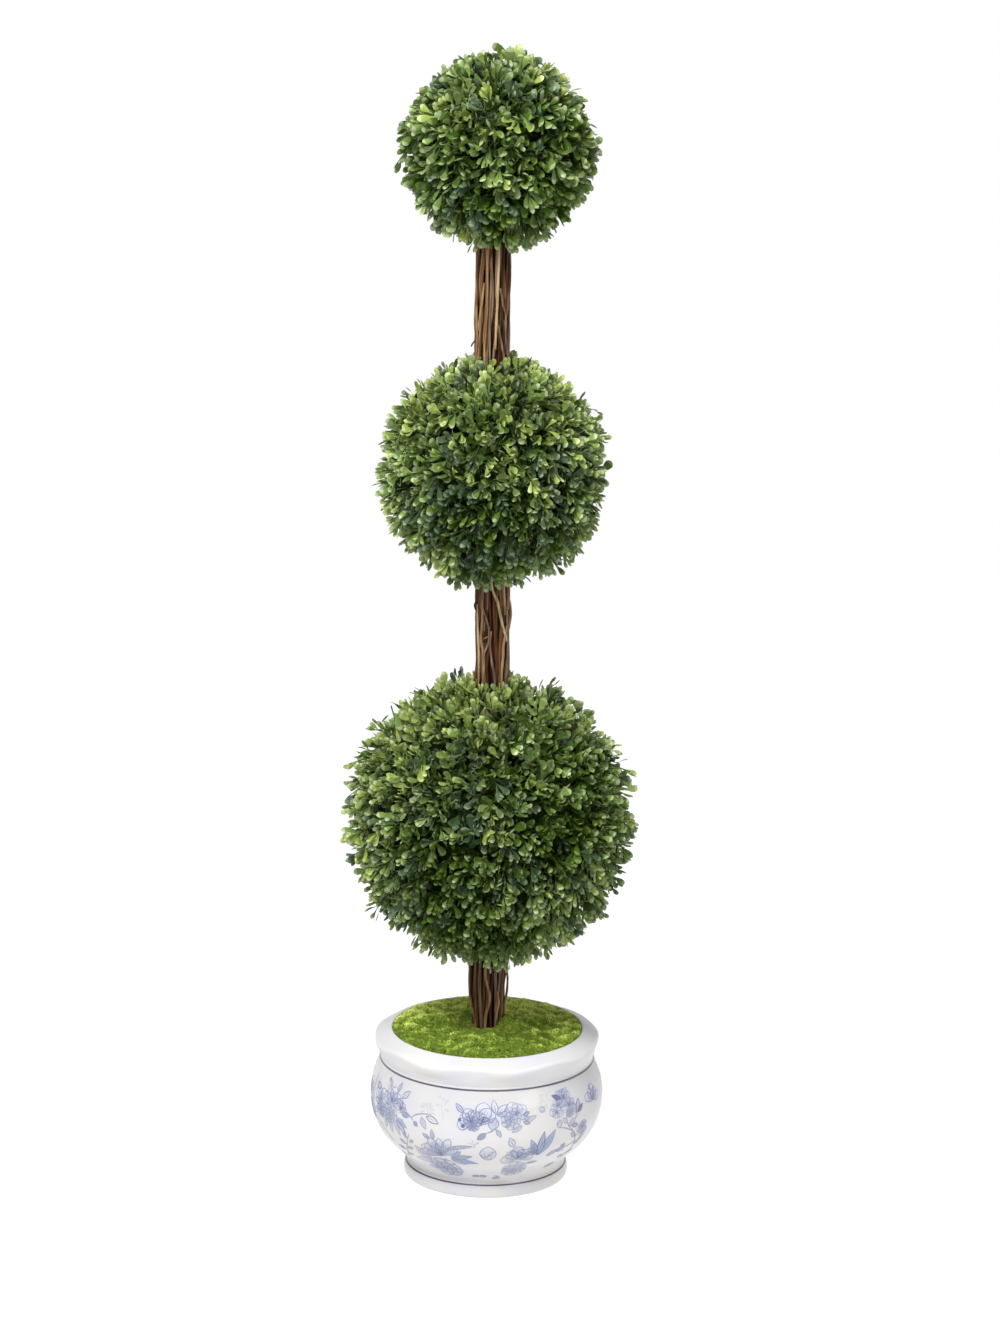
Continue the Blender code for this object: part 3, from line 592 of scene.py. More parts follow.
def leaf_mesh(name, node, roots, ways, ups, lengths, widths, looks):
    """Leaves joined into one mesh, their tips, partly painted highlight, in the second of the two looks."""
    shape, quads, triangles = leaf_shape()
    count = len(roots)
    across = unit(np.cross(ways, ups))
    face_up = np.cross(across, ways)
    points = roots[:, None] + lengths[:, None, None] * (
        widths[:, None, None] * shape[:, 0, None] * across[:, None]
        + shape[:, 1, None] * ways[:, None]
        + shape[:, 2, None] * face_up[:, None]
    )
    piece = mesh_piece(name, node, *many(points, quads, triangles), *looks)
    pale_quads = np.arange(len(quads)) >= 2 * LEAF_PALE_FROM
    pale = np.concatenate([np.tile(pale_quads, count), np.ones(count * len(triangles), bool)])
    piece.data.polygons.foreach_set("material_index", pale.astype(np.int32))


def sprig_families(node, ways, rng, base_tone, grey_sheen_share):
    """The family of greens that each sprig wears, by where it stands on the ball, with painted light and
    shade by its place.
    """
    count = len(ways)
    tone = 0.8 * smooth_noise(ways, rng, pitch=6.0) + rng.normal(0.0, 0.65, count)
    # Painted light and shade: darker towards the bottom and the right, lighter at the sides as rim light and
    # right under the ball as light from the floor
    tone = tone + base_tone + LIGHT_TONE_UP * ways[:, 2] + LIGHT_TONE_RIGHT * ways[:, 0]
    tone = tone + RIM_LIGHT_TONE * (1.0 - np.abs(ways[:, 1])) ** 2
    tone = tone + UNDER_LIGHT_TONE * np.clip(-0.6 - ways[:, 2], 0.0, 0.4)
    grey_sheen = np.full(count, grey_sheen_share)
    for across, up, change, greyer, spread in TONE_SPOTS[node]:
        spot = np.array([across, -math.sqrt(max(0.0, 1.0 - across**2 - up**2)), up])
        near = np.exp(-np.sum((ways - spot) ** 2, axis=1) / spread**2)
        tone = tone + change * near
        grey_sheen = grey_sheen + greyer * near
    family = np.digitize(-tone, FAMILY_CUTS)
    # Greyed sprigs wear the grey families, painted sheen
    sheened = rng.random(count) < grey_sheen
    return np.where(sheened, len(FAMILIES) - np.where(tone > GREY_SHEEN_DIVIDE, 2, 1), family)


def clear_of_trunk(points, room):
    away = np.hypot(points[:, 0], points[:, 1])
    level = (points[:, 2] > TRUNK_BASE) & (points[:, 2] < TRUNK_TIP + 6.0)
    return ~(level & (away < trunk_radius(points[:, 2]) + room))


def push_from_trunk(points, axes):
    """Leans the sprigs that stand beside the trunk away from it."""
    away = np.hypot(points[:, 0], points[:, 1])
    gap = away - trunk_radius(points[:, 2])
    near = np.clip(1.0 - gap / PUSH_ROOM, 0.0, 1.0) * (points[:, 2] < TRUNK_TIP)
    out = beside(points[:, 0], points[:, 1], np.zeros(len(points))) / away[:, None]
    return unit(axes + TRUNK_PUSH * near[:, None] * out)


def grow_ball(node, height, reach, leaf_scale, base_tone, grey_sheen_share, looks, twig_look, shade_core_look):
    """Sprigs of leaf pairs, set evenly over the ball, each sprig in one family of greens."""
    rng = np.random.default_rng(SEED + int(height))
    centre = np.array([0.0, 0.0, height])
    count = int(4.0 * math.pi * (0.95 * reach) ** 2 / (SPRIG_AREA * leaf_scale**1.5))
    ways = even_directions(count, rng)
    depth = SPRIG_OUT + SPRIG_SWELL * smooth_noise(ways, rng) + rng.uniform(*SPRIG_SCATTER, count)
    depth = np.where(rng.random(count) < STRAY_SHARE, depth + STRAY_RISE, depth)
    tips = centre + ways * (reach * depth)[:, None] * BALL_SHAPE
    droop = np.outer(1.0 - np.clip(ways[:, 2], 0.0, 1.0) ** 2, [0.0, 0.0, SPRIG_DROOP])
    axes = unit(ways + rng.normal(0.0, SPRIG_LEAN, (count, 3)) + droop)
    keep = clear_of_trunk(tips, 1.5)
    ways, tips, axes = ways[keep], tips[keep], axes[keep]
    if height + reach < TRUNK_TIP:
        spots = collar_spots(reach, rng)
        ways = np.concatenate([ways, unit(spots)])
        tips = np.concatenate([tips, centre + spots * BALL_SHAPE])
        axes = np.concatenate([axes, unit(unit(spots) + rng.normal(0.0, 0.15, spots.shape))])
    axes = push_from_trunk(tips, axes)
    count = len(ways)
    family = sprig_families(node, ways, rng, base_tone, grey_sheen_share)
    first, second = square_to(axes, rng.normal(0.0, 1.0, (count, 3)))
    grown = {kind: [] for kind in LEAF_KINDS}
    vigour = rng.uniform(0.85, 1.15, count)
    for pair, (back, lean, length) in enumerate(LEAF_PAIRS):
        start = rng.normal(0.0, 0.3, count) + 0.5 * math.pi * pair
        for half in (0.0, math.pi):
            turn = start + half + rng.normal(0.0, 0.25, count)
            tilt = np.radians(lean * rng.uniform(0.55, 1.45, count))
            out = np.cos(turn)[:, None] * first + np.sin(turn)[:, None] * second
            way = np.cos(tilt)[:, None] * axes + np.sin(tilt)[:, None] * out
            back_by = back * leaf_scale * vigour * rng.uniform(0.9, 1.15, count)
            root = tips - axes * back_by[:, None] + out * 0.4
            size = length * leaf_scale * vigour * rng.uniform(0.85, 1.12, count)
            width = rng.uniform(0.82, 1.12, count)
            up = unit(axes + rng.normal(0.0, 0.25, (count, 3)))
            end = root + way * size[:, None]
            far = np.linalg.norm((end - centre) / BALL_SHAPE, axis=1)
            fits = (far < reach * LEAF_LIMIT) & clear_of_trunk(end, 0.0) & clear_of_trunk(root, 0.5)
            drift = np.digitize(rng.random(count), PAIR_DRIFT) - 1
            step = np.clip(pair + drift, 0, len(LEAF_PAIRS) - 1)
            for number, wears in enumerate(FAMILIES):
                for level, kind in enumerate(wears):
                    pick = fits & (family == number) & (step == level)
                    grown[kind].append([part[pick] for part in (root, way, up, size, width)])
    for kind, parts in grown.items():
        joined = [np.concatenate(part) for part in zip(*parts)]
        leaf_mesh(f"{node}_leaves_{kind}", node, *joined, [looks[tone] for tone in LEAF_KINDS[kind]])
    foot, top = TWIG_SPAN
    twig_mesh(f"{node}_twigs", node, tips - axes * foot, tips - axes * top, twig_look)
    core_mesh(f"{node}_core", node, centre, reach - CORE_DEPTH, shade_core_look)


def collar_spots(reach, rng):
    """Places on the ball, from its middle, in a ring round the trunk's way out of it."""
    turn = TURN * (np.arange(COLLAR_SPRIGS) + rng.uniform(-0.3, 0.3, COLLAR_SPRIGS)) / COLLAR_SPRIGS
    out = rng.uniform(*COLLAR_OUT, COLLAR_SPRIGS)
    far = reach * rng.uniform(*COLLAR_FAR, COLLAR_SPRIGS)
    return beside(out * np.cos(turn), out * np.sin(turn), np.sqrt(far**2 - out**2))


def twig_mesh(name, node, feet, tips, look):
    """Three-sided tapering twigs."""
    first, second = square_to(unit(tips - feet), (0.31, 0.52, 0.79))
    rings = []
    for middle, radius in ((feet, 0.95), (tips, 0.45)):
        for side in range(3):
            angle = TURN * side / 3
            rings.append(middle + radius * (math.cos(angle) * first + math.sin(angle) * second))
    quads = np.array([(0, 1, 4, 3), (1, 2, 5, 4), (2, 0, 3, 5)])
    mesh_piece(name, node, *many(np.stack(rings, 1), quads), look)


def core_mesh(name, node, centre, radius, look):
    """The inner ball that the sprigs are set in, lumpy, and coloured near black as painted shade so that gaps
    read as depth.
    """
    rings, around = 36, 64
    fall = math.pi * np.arange(1, rings)[:, None] / rings
    angle = TURN * np.arange(around) / around
    size = radius * (1.0 + 0.03 * np.sin(9 * angle + 5 * fall) * np.sin(11 * fall))
    flat = size * np.sin(fall)
    points = beside(flat * np.cos(angle), flat * np.sin(angle), size * np.cos(fall)).reshape(-1, 3)
    points = np.concatenate([points, [(0.0, 0.0, radius), (0.0, 0.0, -radius)]]) + centre
    mesh_piece(name, node, points, closed_rings(rings - 1, around), look)


def closed_rings(rings, around):
    """Quads between rings of points, and triangles to the two poles that follow them."""
    step = np.arange(around)
    after = (step + 1) % around
    last = (rings - 1) * around
    pole = np.full(around, rings * around)
    upper = beside(after, step, pole)
    lower = beside(last + step, last + after, pole + 1)
    return [ring_quads(rings, around), upper, lower]


def ring_quads(rings, around):
    ring, step = np.meshgrid(np.arange(rings - 1), np.arange(around), indexing="ij")
    after = (step + 1) % around
    low = ring * around
    return beside(low + step, low + around + step, low + around + after, low + after).reshape(-1, 4)


# Trunk


def tube(centres, radii, sides):
    """Points and quads of a tube along a path of rings."""
    first, second = square_to(unit(np.gradient(centres, axis=0)), (1.0, 0.0, 0.0))
    angle = TURN * np.arange(sides) / sides
    points = centres[:, None] + radii[:, None, None] * (
        np.cos(angle)[:, None] * first[:, None] + np.sin(angle)[:, None] * second[:, None]
    )
    return points.reshape(-1, 3), ring_quads(len(centres), sides)


def wobble(height, rng, size, lengths):
    total = np.zeros_like(height)
    for length in lengths:
        total += np.sin(TURN * height / length * rng.uniform(0.8, 1.25) + rng.uniform(0, TURN))
    return size * total / len(lengths)


def round_trunk(turn, height, out):
    """Points at a turn from the front, a height and a distance from the trunk's middle."""
    centre = trunk_centre(height)
    return beside(centre[:, 0] + out * np.sin(turn), centre[:, 1] - out * np.cos(turn), height)


def pinch(turn, height):
    """How far the bundle is drawn in where a loose vine stands off it."""
    side, middle, depth = TRUNK_DENT
    off = (np.degrees(turn) - side + 180.0) % 360.0 - 180.0
    return depth * np.exp(-((off / 34.0) ** 2) - ((height - middle) / 17.0) ** 2)


def vine_path(rng, low, high, start, twist, depth, radius, sway):
    height = np.linspace(low, high, max(int((high - low) / 6.0), 8))
    turn = start + twist * (height - low) * MM + wobble(height, rng, sway, (90.0, 170.0, 330.0))
    out = trunk_radius(height) - radius - depth + wobble(height, rng, 0.8, (50.0, 95.0))
    path = round_trunk(turn, height, out - pinch(turn, height))
    thick = radius * (1.0 + wobble(height, rng, 0.2, (29.0, 61.0, 140.0)))
    return path, thick


def strand_path(marks, radius, rng):
    """A strand through points given by turn from the front, height and stand-off."""
    turn, height, off = rounded_profile(marks, 6).T
    path = round_trunk(np.radians(turn), height, trunk_radius(height) - radius + off)
    thin_ends = 0.75 + 0.25 * np.sin(math.pi * np.linspace(0.0, 1.0, len(path))) ** 0.4
    return path, radius * (1.0 + wobble(height, rng, 0.12, (17.0, 31.0))) * thin_ends


def bark_look(name, pale, dark):
    """Bark streaked along the vine."""
    grain = (390.0, 390.0, 24.0)
    return clouded_look(name, dark, pale, 0.68, 0.16, grain, 5.0, (0.36, 0.6), (0.6, 0.0006))[0]


def make_trunk():
    """Thin vines laid side by side round a dark middle, with strands crossing over them; the middle and the
    deeper, mostly dark vines are painted shade in the bundle.
    """
    rng = np.random.default_rng(SEED + 7)
    looks = {tone: bark_look(f"vine_{tone}", *shades) for tone, shades in BARK.items()}
    bundles = {tone: [] for tone in BARK}
    for count, uneven, tones, shares, top, twist, depth, radius, sway, sides in VINE_LAYERS:
        for index in range(count):
            start = TURN * (index + rng.uniform(-uneven, uneven)) / count
            tone = rng.choice(tones, p=shares)
            spec = (TRUNK_BASE, top, start, twist, rng.uniform(*depth), rng.uniform(*radius), sway)
            bundles[tone].append(tube(*vine_path(rng, *spec), sides))
    for index in range(UPPER_VINES):
        start = TURN * (index + rng.uniform(-0.3, 0.3)) / UPPER_VINES
        # Those on the right take dark barks: painted shade on the side away from the softbox
        shades = ["dark", "brown", "red"] if math.sin(start) > 0.3 else ["tan", "grey", "brown"]
        tone = rng.choice(shades, p=[0.45, 0.35, 0.2])
        twist = rng.uniform(-1.6, 1.6)
        spec = (*UPPER_BAND, start, twist, rng.uniform(-0.5, 0.8), rng.uniform(0.9, 1.6), 0.16)
        bundles[tone].append(tube(*vine_path(rng, *spec), 7))
    for low, high in CROSSINGS:
        for _ in range(CROSSING_STRANDS):
            tone = rng.choice(["cream", "tan", "grey", "brown"], p=[0.15, 0.35, 0.3, 0.2])
            twist = rng.choice([-1.0, 1.0]) * rng.uniform(2.0, 7.0)
            start = rng.uniform(0.6 * math.pi, 1.4 * math.pi)
            spec = (low, high, start, twist, rng.uniform(-0.9, 0.2), rng.uniform(1.0, 1.5), 0.16)
            bundles[tone].append(tube(*vine_path(rng, *spec), 7))
    for tone, radius, *marks in TRUNK_STRANDS:
        bundles[tone].append(tube(*strand_path(marks, radius, rng), 8))
    for tone, tubes in bundles.items():
        joined_piece(f"trunk_vines_{tone}", "trunk", tubes, looks[tone])
    # A near-black pith inside the vines: painted shade in the bundle's depths
    height = np.linspace(TRUNK_BASE, TRUNK_TIP - 14.0, 60)
    middle = np.concatenate([trunk_centre(height), height[:, None]], axis=1)
    pith = tube(middle, trunk_radius(height) - PITH_DEPTH, 24)
    joined_piece("trunk_pith", "trunk", [pith], looks["dark"])


def joined_piece(name, node, parts, look):
    points, faces, start = [], [], 0
    for part_points, part_faces in parts:
        points.append(part_points)
        faces.append(part_faces + start)
        start += len(part_points)
    mesh_piece(name, node, np.concatenate(points), np.concatenate(faces), look)


# Moss


def moss_lumps(x, y):
    """Soft clumps, from about -1 in the pits to 1 on top."""
    slow = np.sin(x / 6.1 + 1.3 * np.sin(y / 7.9)) * np.sin(y / 6.7 + 1.7 * np.sin(x / 9.3))
    fast = np.sin(x / 2.6 + y / 3.9) * np.sin(y / 3.1 - x / 4.7)
    return 0.7 * slow + 0.3 * fast


def add_spots(values, x, y, spots):
    """Raises or lowers the values in soft round spots."""
    for spot_x, spot_y, change, spread in spots:
        values = values + change * np.exp(-((x - spot_x) ** 2 + (y - spot_y) ** 2) / spread**2)
    return values


def moss_height(x, y):
    share = np.clip((np.hypot(x, y) - 19.0) / (MOSS_RADIUS - 19.0), 0.0, 1.0)
    dome = MOSS_CROWN_TOP + (MOSS_EDGE_TOP - MOSS_CROWN_TOP) * share**2
    dome = add_spots(dome, x, y, MOSS_MOUNDS)
    rim = np.clip((1.0 - share) / 0.05, 0.0, 1.0)
    return dome + 2.3 * moss_lumps(x, y) * (0.4 + 0.6 * rim) - 0.9 * (1.0 - rim)


def make_moss():
    rng = np.random.default_rng(SEED + 13)
    rings, around = 60, 220
    radii = np.linspace(MOSS_RADIUS, 15.0, rings)[:, None]
    angle = TURN * np.arange(around) / around
    x, y = radii * np.cos(angle), radii * np.sin(angle)
    z = moss_height(x, y)
    z[0] = TRUNK_BASE + 0.3
    points = beside(x, y, z).reshape(-1, 3)
    ground, _ = clouded_look("moss_ground", *MOSS_GROUND, 0.95, 0.1, 420.0, cuts=(0.4, 0.62))
    mesh_piece("moss_ground", "moss", points, ring_quads(rings, around), ground)
    away = 17.5 + (MOSS_RADIUS - 17.8) * np.sqrt(rng.random(MOSS_TUFTS))
    turn = rng.uniform(0, TURN, MOSS_TUFTS)
    x, y = away * np.cos(turn), away * np.sin(turn)
    roots = beside(x, y, moss_height(x, y) - 0.4)
    # Painted light and shade in the tufts' greens: darker in the pits and round the trunk's foot, paler to
    # the right and back where the ball shades the moss, darker in painted shadow spots
    near = np.exp(-(((away - 19.0) / 14.0) ** 2))
    drift = MOSS_LIGHT_WAY[0] * x + MOSS_LIGHT_WAY[1] * y
    shade = MOSS_LUMP_SHADE * moss_lumps(x, y) - MOSS_FOOT_SHADOW * near + drift
    shade = shade + rng.normal(0, 0.42, MOSS_TUFTS)
    shade = add_spots(shade, x, y, MOSS_SHADOW_SPOTS)
    choice = np.digitize(shade, MOSS_CUTS)
    for number, (name, colour) in enumerate(MOSS_GREENS):
        look, _ = shade_nodes(f"moss_{name}", colour, 0.9, 0.15)
        tuft_mesh(f"moss_tufts_{name}", roots[choice == number], rng, look)


def tuft_mesh(name, roots, rng, look):
    """Short curled threads: a thin strip of three quads that rises and bends over."""
    count = len(roots)
    turn = rng.uniform(0, TURN, count)
    way = beside(np.cos(turn), np.sin(turn), np.zeros(count))
    across = beside(-np.sin(turn), np.cos(turn), rng.uniform(-0.6, 0.6, count))
    length = rng.uniform(1.6, 3.8, count)[:, None]
    rise = rng.uniform(0.5, 1.5, count)[:, None]
    up = np.array([0.0, 0.0, 1.0])
    rows = []
    for share, half in ((0.0, 0.4), (0.35, 0.38), (0.7, 0.3), (1.0, 0.1)):
        middle = roots + length * (way * share * 0.8 + up * rise * (share - 0.55 * share**2))
        rows += [middle - across * half, middle + across * half]
    quads = np.array([(0, 1, 3, 2), (2, 3, 5, 4), (4, 5, 7, 6)])
    mesh_piece(name, "moss", *many(np.stack(rows, 1), quads), look)


# Pot


def rounded_profile(points, pieces):
    """A smooth curve through the points, with so many pieces between each two."""
    given = np.array(points, float)
    padded = np.concatenate([[2 * given[0] - given[1]], given, [2 * given[-1] - given[-2]]])
    made = []
    for index in range(len(given) - 1):
        a, b, c, d = padded[index : index + 4]
        square = 2 * a - 5 * b + 4 * c - d
        cube = 3 * b - a - 3 * c + d
        for t in np.arange(pieces) / pieces:
            made.append(0.5 * (2 * b + (c - a) * t + square * t**2 + cube * t**3))
    made.append(given[-1])
    return np.array(made)


def glaze_look(name, low, high):
    """Glossy glaze, clouded between two colours, its face a little uneven."""
    look, shader = clouded_look(name, low, high, 0.34, 0.42, 22.0, 2.0, (0.35, 0.65), (0.05, 0.003))
    set_inputs(shader, {"Coat Weight": 0.12, "Coat Roughness": 0.16})
    return look, shader


def make_pot():
    profile = rounded_profile(POT_OUTSIDE, 5)
    angle = TURN * np.arange(POT_STEPS) / POT_STEPS
    low, high = LIP_BAND
    inside = (profile[:, 1] > low) & (profile[:, 1] < high) & (profile[:, 0] > 102.0)
    weight = np.where(inside, np.sin(math.pi * np.clip((profile[:, 1] - low) / (high - low), 0, 1)), 0.0)
    lobe = weight[:, None] * np.cos(LIP_LOBES * (angle - math.radians(LIP_TURN - 90.0)))
    radius = profile[:, 0, None] + LIP_SWELL * lobe
    rise = profile[:, 1, None] - LIP_DIP * lobe
    points = beside(radius * np.cos(angle), radius * np.sin(angle), rise).reshape(-1, 3)
    quads = ring_quads(len(profile), POT_STEPS)[:, ::-1]
    foot = len(points)
    points = np.concatenate([points, [[0.0, 0.0, 0.0]]])
    step = np.arange(POT_STEPS)
    base = beside(step, np.full(POT_STEPS, foot), (step + 1) % POT_STEPS)
    glaze, shader = glaze_look("glaze", GLAZE_COOL, GLAZE_WARM)
    # Painted shade: the glaze is darkened by height against the softbox's light
    shade_by_height(glaze, shader, GLAZE_SHADE_BY_HEIGHT)
    mesh_piece("pot_glazed", "pot", points, [quads, base], glaze)


class Brush:
    """Gathers painted shapes, each a small grid of points that follows the bowl's wall."""

    def __init__(self):
        outside = rounded_profile(POT_OUTSIDE, 5)
        self.wall = outside[: np.argmax(outside[:, 1])]
        steps = np.linalg.norm(np.diff(self.wall, axis=0), axis=1)
        self.climb = np.concatenate([[0.0], np.cumsum(steps)])
        along = unit(np.gradient(self.wall, axis=0))
        self.facing = beside(along[:, 1], -along[:, 0])
        self.shapes = {name: [] for name in PAINTS}

    def across(self, table, climb):
        return np.interp(climb, self.climb, table)

    def climb_to(self, height):
        return np.interp(height, self.wall[:, 1], self.climb)

    def lay(self, paint, spot, turn, grid):
        """Puts a grid of local points on the bowl at an angle and a height, turned clockwise from upright."""
        angle, height = spot
        lean = math.radians(turn)
        right = grid[..., 0] * math.cos(lean) + grid[..., 1] * math.sin(lean)
        up = grid[..., 1] * math.cos(lean) - grid[..., 0] * math.sin(lean)
        climb = self.climb_to(height) + up
        lift = PAINTS[paint][0] + PAINT_STEP * (len(self.shapes[paint]) % PAINT_STEPS)
        wall = self.across(self.wall[:, 0], climb)
        radius = wall + lift * self.across(self.facing[:, 0], climb)
        rise = self.across(self.wall[:, 1], climb) + lift * self.across(self.facing[:, 1], climb)
        rows, columns = grid.shape[:2]
        row, column = np.meshgrid(np.arange(rows - 1), np.arange(columns - 1), indexing="ij")
        low = row * columns + column
        quads = beside(low, low + 1, low + columns + 1, low + columns).reshape(-1, 4)
        for side in PATTERN_SIDES:
            place = math.radians(angle + side) + right / wall
            points = beside(radius * np.sin(place), -radius * np.cos(place), rise)
            self.shapes[paint].append((points.reshape(-1, 3), quads))

    def line(self, paint, spot, turn, path, width):
        """A stroke along a path, thinner at both ends."""
        along = unit(np.gradient(path, axis=0))
        share = np.linspace(0.0, 1.0, len(path))
        half = 0.5 * width * (0.45 + 0.55 * np.sin(math.pi * share))
        side = beside(along[:, 1], -along[:, 0]) * half[:, None]
        self.lay(paint, spot, turn, np.stack([path - side, path + side], 1))

    def blade(
        self, spot, turn, length, width, fill, edge="line", bend=0.0,
        full=0.85, blunt=1.0, veins=(0.0,), vein_paint="line", start=0.0,
    ):
        """A leaf or petal, its foot at a distance from the spot: its fill, its two edges and its veins."""
        share = np.linspace(0.0, 1.0, max(5, int(length / 2.2)))
        half = 0.5 * width * np.sin(math.pi * share**full) ** blunt
        middle = beside(bend * length * (share**2 - 0.3 * share), start + length * share)
        columns = np.linspace(-1.0, 1.0, max(3, int(width / 2.4) + 1))
        flat = beside(half[:, None] * columns, 0.0 * half[:, None] * columns)
        self.lay(fill, spot, turn, middle[:, None] + flat)
        for side in (-1.0, 1.0):
            rim = middle + beside(side * half, 0.0 * half)
            self.line(edge, spot, turn, rim, EDGE_WIDTH)
        last = max(4, int(0.8 * len(share)))
        for vein in veins:
            rib = middle + beside(vein * half, 0.0 * half)
            self.line(vein_paint, spot, turn, rib[:last], VEIN_WIDTH)

    def track(self, paint, marks, width):
        """A stroke through points given by angle and height."""
        smooth = rounded_profile(marks, 6)
        start = smooth[0]
        climb = self.climb_to(smooth[:, 1])
        right = np.radians(smooth[:, 0] - start[0]) * self.across(self.wall[:, 0], climb)
        path = beside(right, climb - climb[0])
        self.line(paint, start, 0.0, path, width)


def paint_bloom(brush, angle, height, turn, spread, petals, length, width, fill):
    """A fan of rounded petals, the outer ones first so that the middle ones lie over them."""
    spot = (angle, height)
    order = sorted(range(petals), key=lambda k: -abs(k - 0.5 * (petals - 1)))
    for number in order:
        share = number / (petals - 1) - 0.5
        size = 1.0 - 0.12 * (number % 2)
        brush.blade(
            spot, turn + spread * share, length * size, width, fill, bend=0.22 * share,
            full=1.5, blunt=0.7, veins=(-0.55, -0.2, 0.15, 0.5), vein_paint="hatch",
        )
    thread = beside(np.zeros(4), np.linspace(1, 0.4 * length, 4))
    for number in range(3):
        brush.line("dark", spot, turn + spread * (number - 1) / 4, thread, 1.0)


def paint_rose(brush, angle, height, width, tall, rng):
    """A full rose: rings of rounded petals over a pale disc, round a dark curl."""
    spot = (angle, height)
    size = np.array([0.5 * width, 0.5 * tall])
    around = np.linspace(0.0, TURN, 41)
    rings = np.linspace(0.05, 0.9, 6)
    disc = beside(np.cos(around), np.sin(around))
    brush.lay("wash", spot, 0.0, rings[:, None, None] * disc * size)
    for petals, start, length, fill in ROSE_RINGS:
        for number in range(petals):
            way = TURN * (number + rng.uniform(-0.12, 0.12)) / petals + start
            reach = 1.0 / math.hypot(math.sin(way) / size[0], math.cos(way) / size[1])
            broad = 1.2 * TURN * (start + 0.5 * length) * reach / petals
            brush.blade(
                spot, math.degrees(way), length * reach * rng.uniform(0.9, 1.1), broad, fill, bend=0.12,
                full=1.5, blunt=0.6, veins=(-0.35, 0.3), vein_paint="hatch", start=start * reach,
            )
    curl = np.linspace(0.0, 1.6 * math.pi, 9)
    spiral = beside(np.cos(curl), np.sin(curl)) * (0.06 + 0.03 * curl)[:, None] * size
    brush.line("dark", spot, 0.0, spiral, 1.0)


def paint_spray(brush, angle, height, turn, stem, spread, rays, length, rng):
    """A thin stem with short dashes fanned out from its upper half."""
    spot = (angle, height)
    up = np.linspace(0.0, stem, 9)
    brush.line("faint", spot, turn, beside(0.05 * stem * np.sin(up / 3.0), up), 1.0)
    for ray in range(rays):
        lean = math.radians(spread * (ray / (rays - 1) - 0.5) + rng.uniform(-9, 9))
        way = np.array([math.sin(lean), math.cos(lean)]) * length * rng.uniform(0.85, 1.15)
        foot = np.array([0.0, stem * rng.uniform(0.45, 1.0)])
        brush.line("faint", spot, turn, foot + np.linspace(0.4, 1.0, 4)[:, None] * way, 1.9)


def paint_rule(brush, height, width):
    """A thin band half way round the pot; the pattern's two sides close it."""
    right = np.radians(np.linspace(0.0, 180.2, 121)) * brush.across(brush.wall[:, 0], brush.climb_to(height))
    edges = [beside(right, 0.0 * right + end) for end in (-0.5 * width, 0.5 * width)]
    brush.lay("rule", (-90.0, height), 0.0, np.stack(edges, 1))


def paint_shade(brush, angle, height, width, tall, strokes, rng):
    """Short curved strokes over an oval, closer towards its middle, as an engraver shades."""
    for _ in range(strokes):
        turn = rng.uniform(0.0, TURN)
        away = 0.5 * rng.random() ** 0.6
        spot = np.array([width * away * math.cos(turn), tall * away * math.sin(turn)])
        heading = turn + rng.choice([0.0, 0.5 * math.pi]) + rng.normal(0.0, 0.35)
        curl = rng.uniform(-0.5, 0.5)
        share = np.linspace(-0.5, 0.5, 4)
        bent = heading + curl * share
        path = spot + rng.uniform(*SHADE_LENGTH) * share[:, None] * beside(np.cos(bent), np.sin(bent))
        paint = rng.choice(["hatch", "blue", "faint", "line"], p=[0.36, 0.24, 0.22, 0.18])
        brush.line(paint, (angle, height), 0.0, path, rng.uniform(*SHADE_WIDTH))


def paint_pattern():
    """Roses, blooms, buds and leaves in the manner of old blue printed ware."""
    rng = np.random.default_rng(SEED + 29)
    brush = Brush()
    for row in PAINTED_SPRAYS:
        paint_spray(brush, *row, rng)
    for row in PAINTED_STEMS:
        brush.track("line", row, STEM_WIDTH)
    for angle, height, *leaf in PAINTED_LEAVES:
        brush.blade((angle, height), *leaf)
    for row in PAINTED_BLOOMS:
        paint_bloom(brush, *row)
    for row in PAINTED_ROSES:
        paint_rose(brush, *row, rng)
    for angle, height, *bud in PAINTED_BUDS:
        brush.blade(
            (angle, height), *bud, full=1.0, blunt=0.7, veins=(-0.5, 0.0, 0.5), vein_paint="hatch"
        )
    for row in PAINTED_SHADES:
        paint_shade(brush, *row, rng)
    for row in RULES:
        paint_rule(brush, *row)
    for name, (_, low, high) in PAINTS.items():
        look, _ = glaze_look(f"paint_{name}", low, high)
        joined_piece(f"pot_paint_{name}", "pot", brush.shapes[name], look)


# Camera, light and floor


def make_camera():
    data = bpy.data.cameras.new("camera")
    data.lens = CAMERA_LENS
    data.clip_end = 50.0
    camera = add_object("camera", data)
    turn = (
        Matrix.Rotation(math.radians(CAMERA_YAW), 4, "Z")
        @ Matrix.Rotation(math.radians(90.0 - CAMERA_DOWN), 4, "X")
        @ Matrix.Rotation(math.radians(CAMERA_ROLL), 4, "Z")
    )
    camera.matrix_world = Matrix.Translation(CAMERA_PLACE) @ turn
    bpy.context.scene.camera = camera


def area_light(name, place, aim, size, power):
    data = bpy.data.lights.new(name, "AREA")
    data.shape = "DISK"
    data.size = size
    data.energy = power
    light = add_object(name, data)
    light.location = place
    light.rotation_euler = (Vector(aim) - Vector(place)).to_track_quat("-Z", "Y").to_euler()


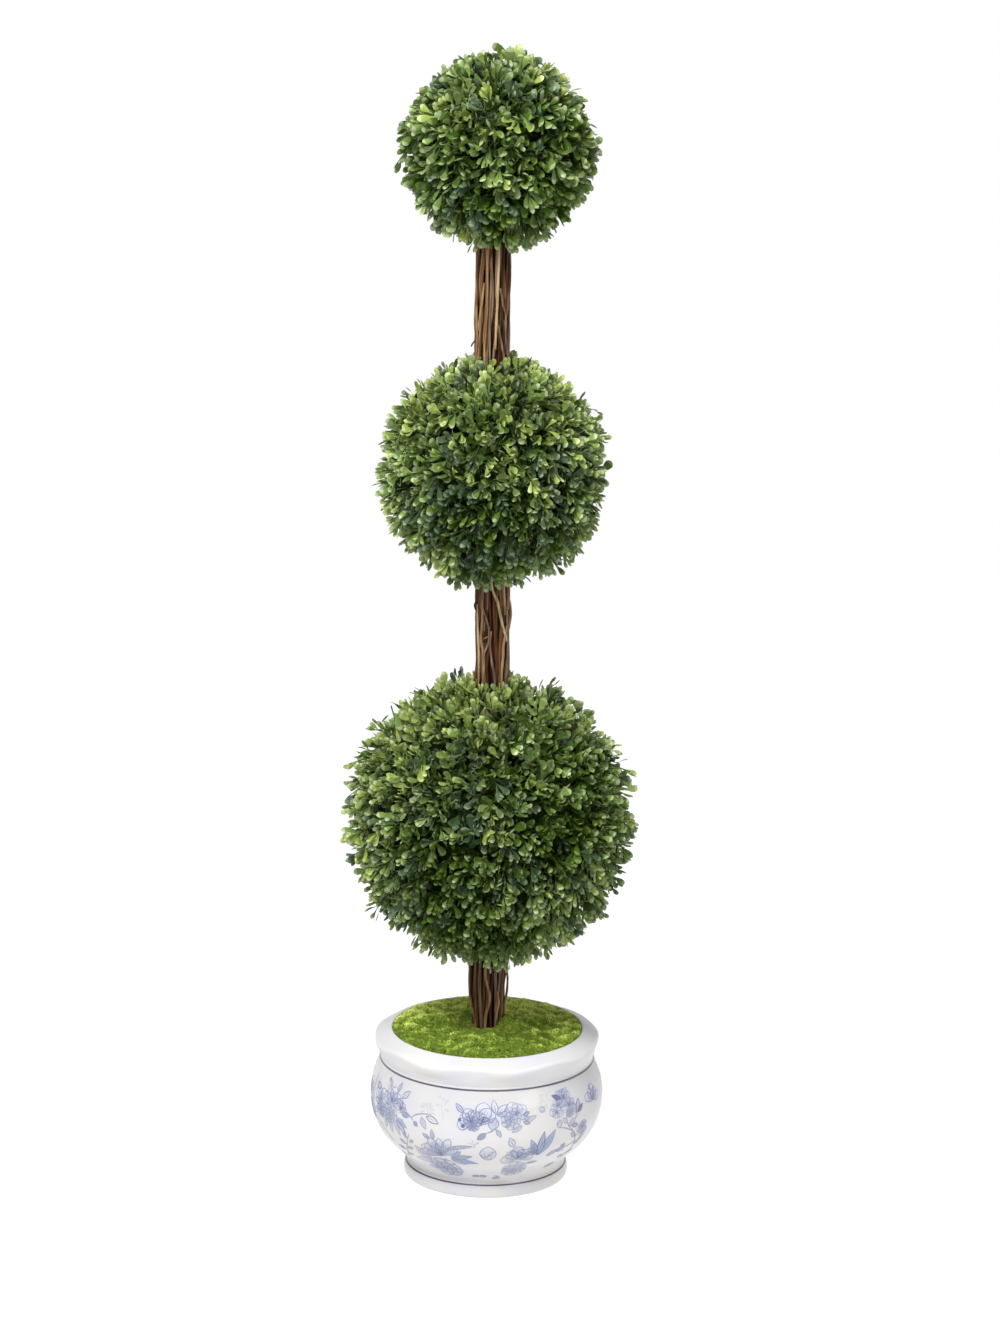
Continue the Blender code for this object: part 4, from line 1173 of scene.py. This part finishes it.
def make_sky():
    """White at the horizon and dimmer overhead, where the softbox gives the light."""
    world = bpy.data.worlds.new("studio")
    world.use_nodes = True
    tree = world.node_tree
    place, split, ramp = add_nodes(tree, "TexCoord", "SeparateXYZ", "MapRange")
    set_inputs(ramp, {"From Min": 0.0, "From Max": SKY_FADE, "To Min": SKY_LOW, "To Max": SKY_HIGH})
    sky = tree.nodes["Background"]
    set_inputs(sky, {"Color": WHITE})
    tree.links.new(place.outputs["Generated"], split.inputs["Vector"])
    tree.links.new(split.outputs["Z"], ramp.inputs["Value"])
    tree.links.new(ramp.outputs["Result"], sky.inputs["Strength"])
    bpy.context.scene.world = world


def make_studio():
    make_sky()
    bpy.context.scene.view_settings.view_transform = "Standard"
    for name, spec in LIGHTS.items():
        area_light(name, *spec)
    steps = 96
    turns = [TURN * step / steps for step in range(steps)]
    edge = [(FLOOR_RADIUS * math.cos(turn), FLOOR_RADIUS * math.sin(turn), 0.0) for turn in turns]
    floor_mesh = bpy.data.meshes.new("floor")
    floor_mesh.from_pydata(edge, [], [list(range(steps))])
    look, shader = shade_nodes("floor", (FLOOR_BASE, FLOOR_BASE, FLOOR_BASE), 0.9)
    set_inputs(shader, {"Emission Color": WHITE, "Emission Strength": FLOOR_GLOW})
    floor_mesh.materials.append(look)
    floor = add_object("floor", floor_mesh)


def make_foliage():
    looks = {}
    for name, colour in LEAF_COLOURS.items():
        looks[name], _ = shade_nodes(f"leaf_{name}", colour, 0.38, 0.22 if name in LEAF_SHADED else 0.38)
    twig_look, _ = clouded_look("twig", *TWIG_GREENS, 0.6, 0.3, 260.0)
    # The inner ball's near-black look is painted shade
    shade_core_look, _ = clouded_look("core", *CORE_SHADE_GREENS, 1.0, 0.0, 260.0)
    for row in BALLS:
        grow_ball(*row, looks, twig_look, shade_core_look)


def dress_filler():
    plaster, _ = clouded_look("plaster", *PLASTER, 0.9, 0.2, 180.0, relief=(0.3, 0.001))
    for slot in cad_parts["filler"].material_slots:
        slot.material = plaster


def main():
    make_camera()
    make_studio()
    make_pot()
    paint_pattern()
    make_moss()
    make_trunk()
    make_foliage()
    dress_filler()


main()
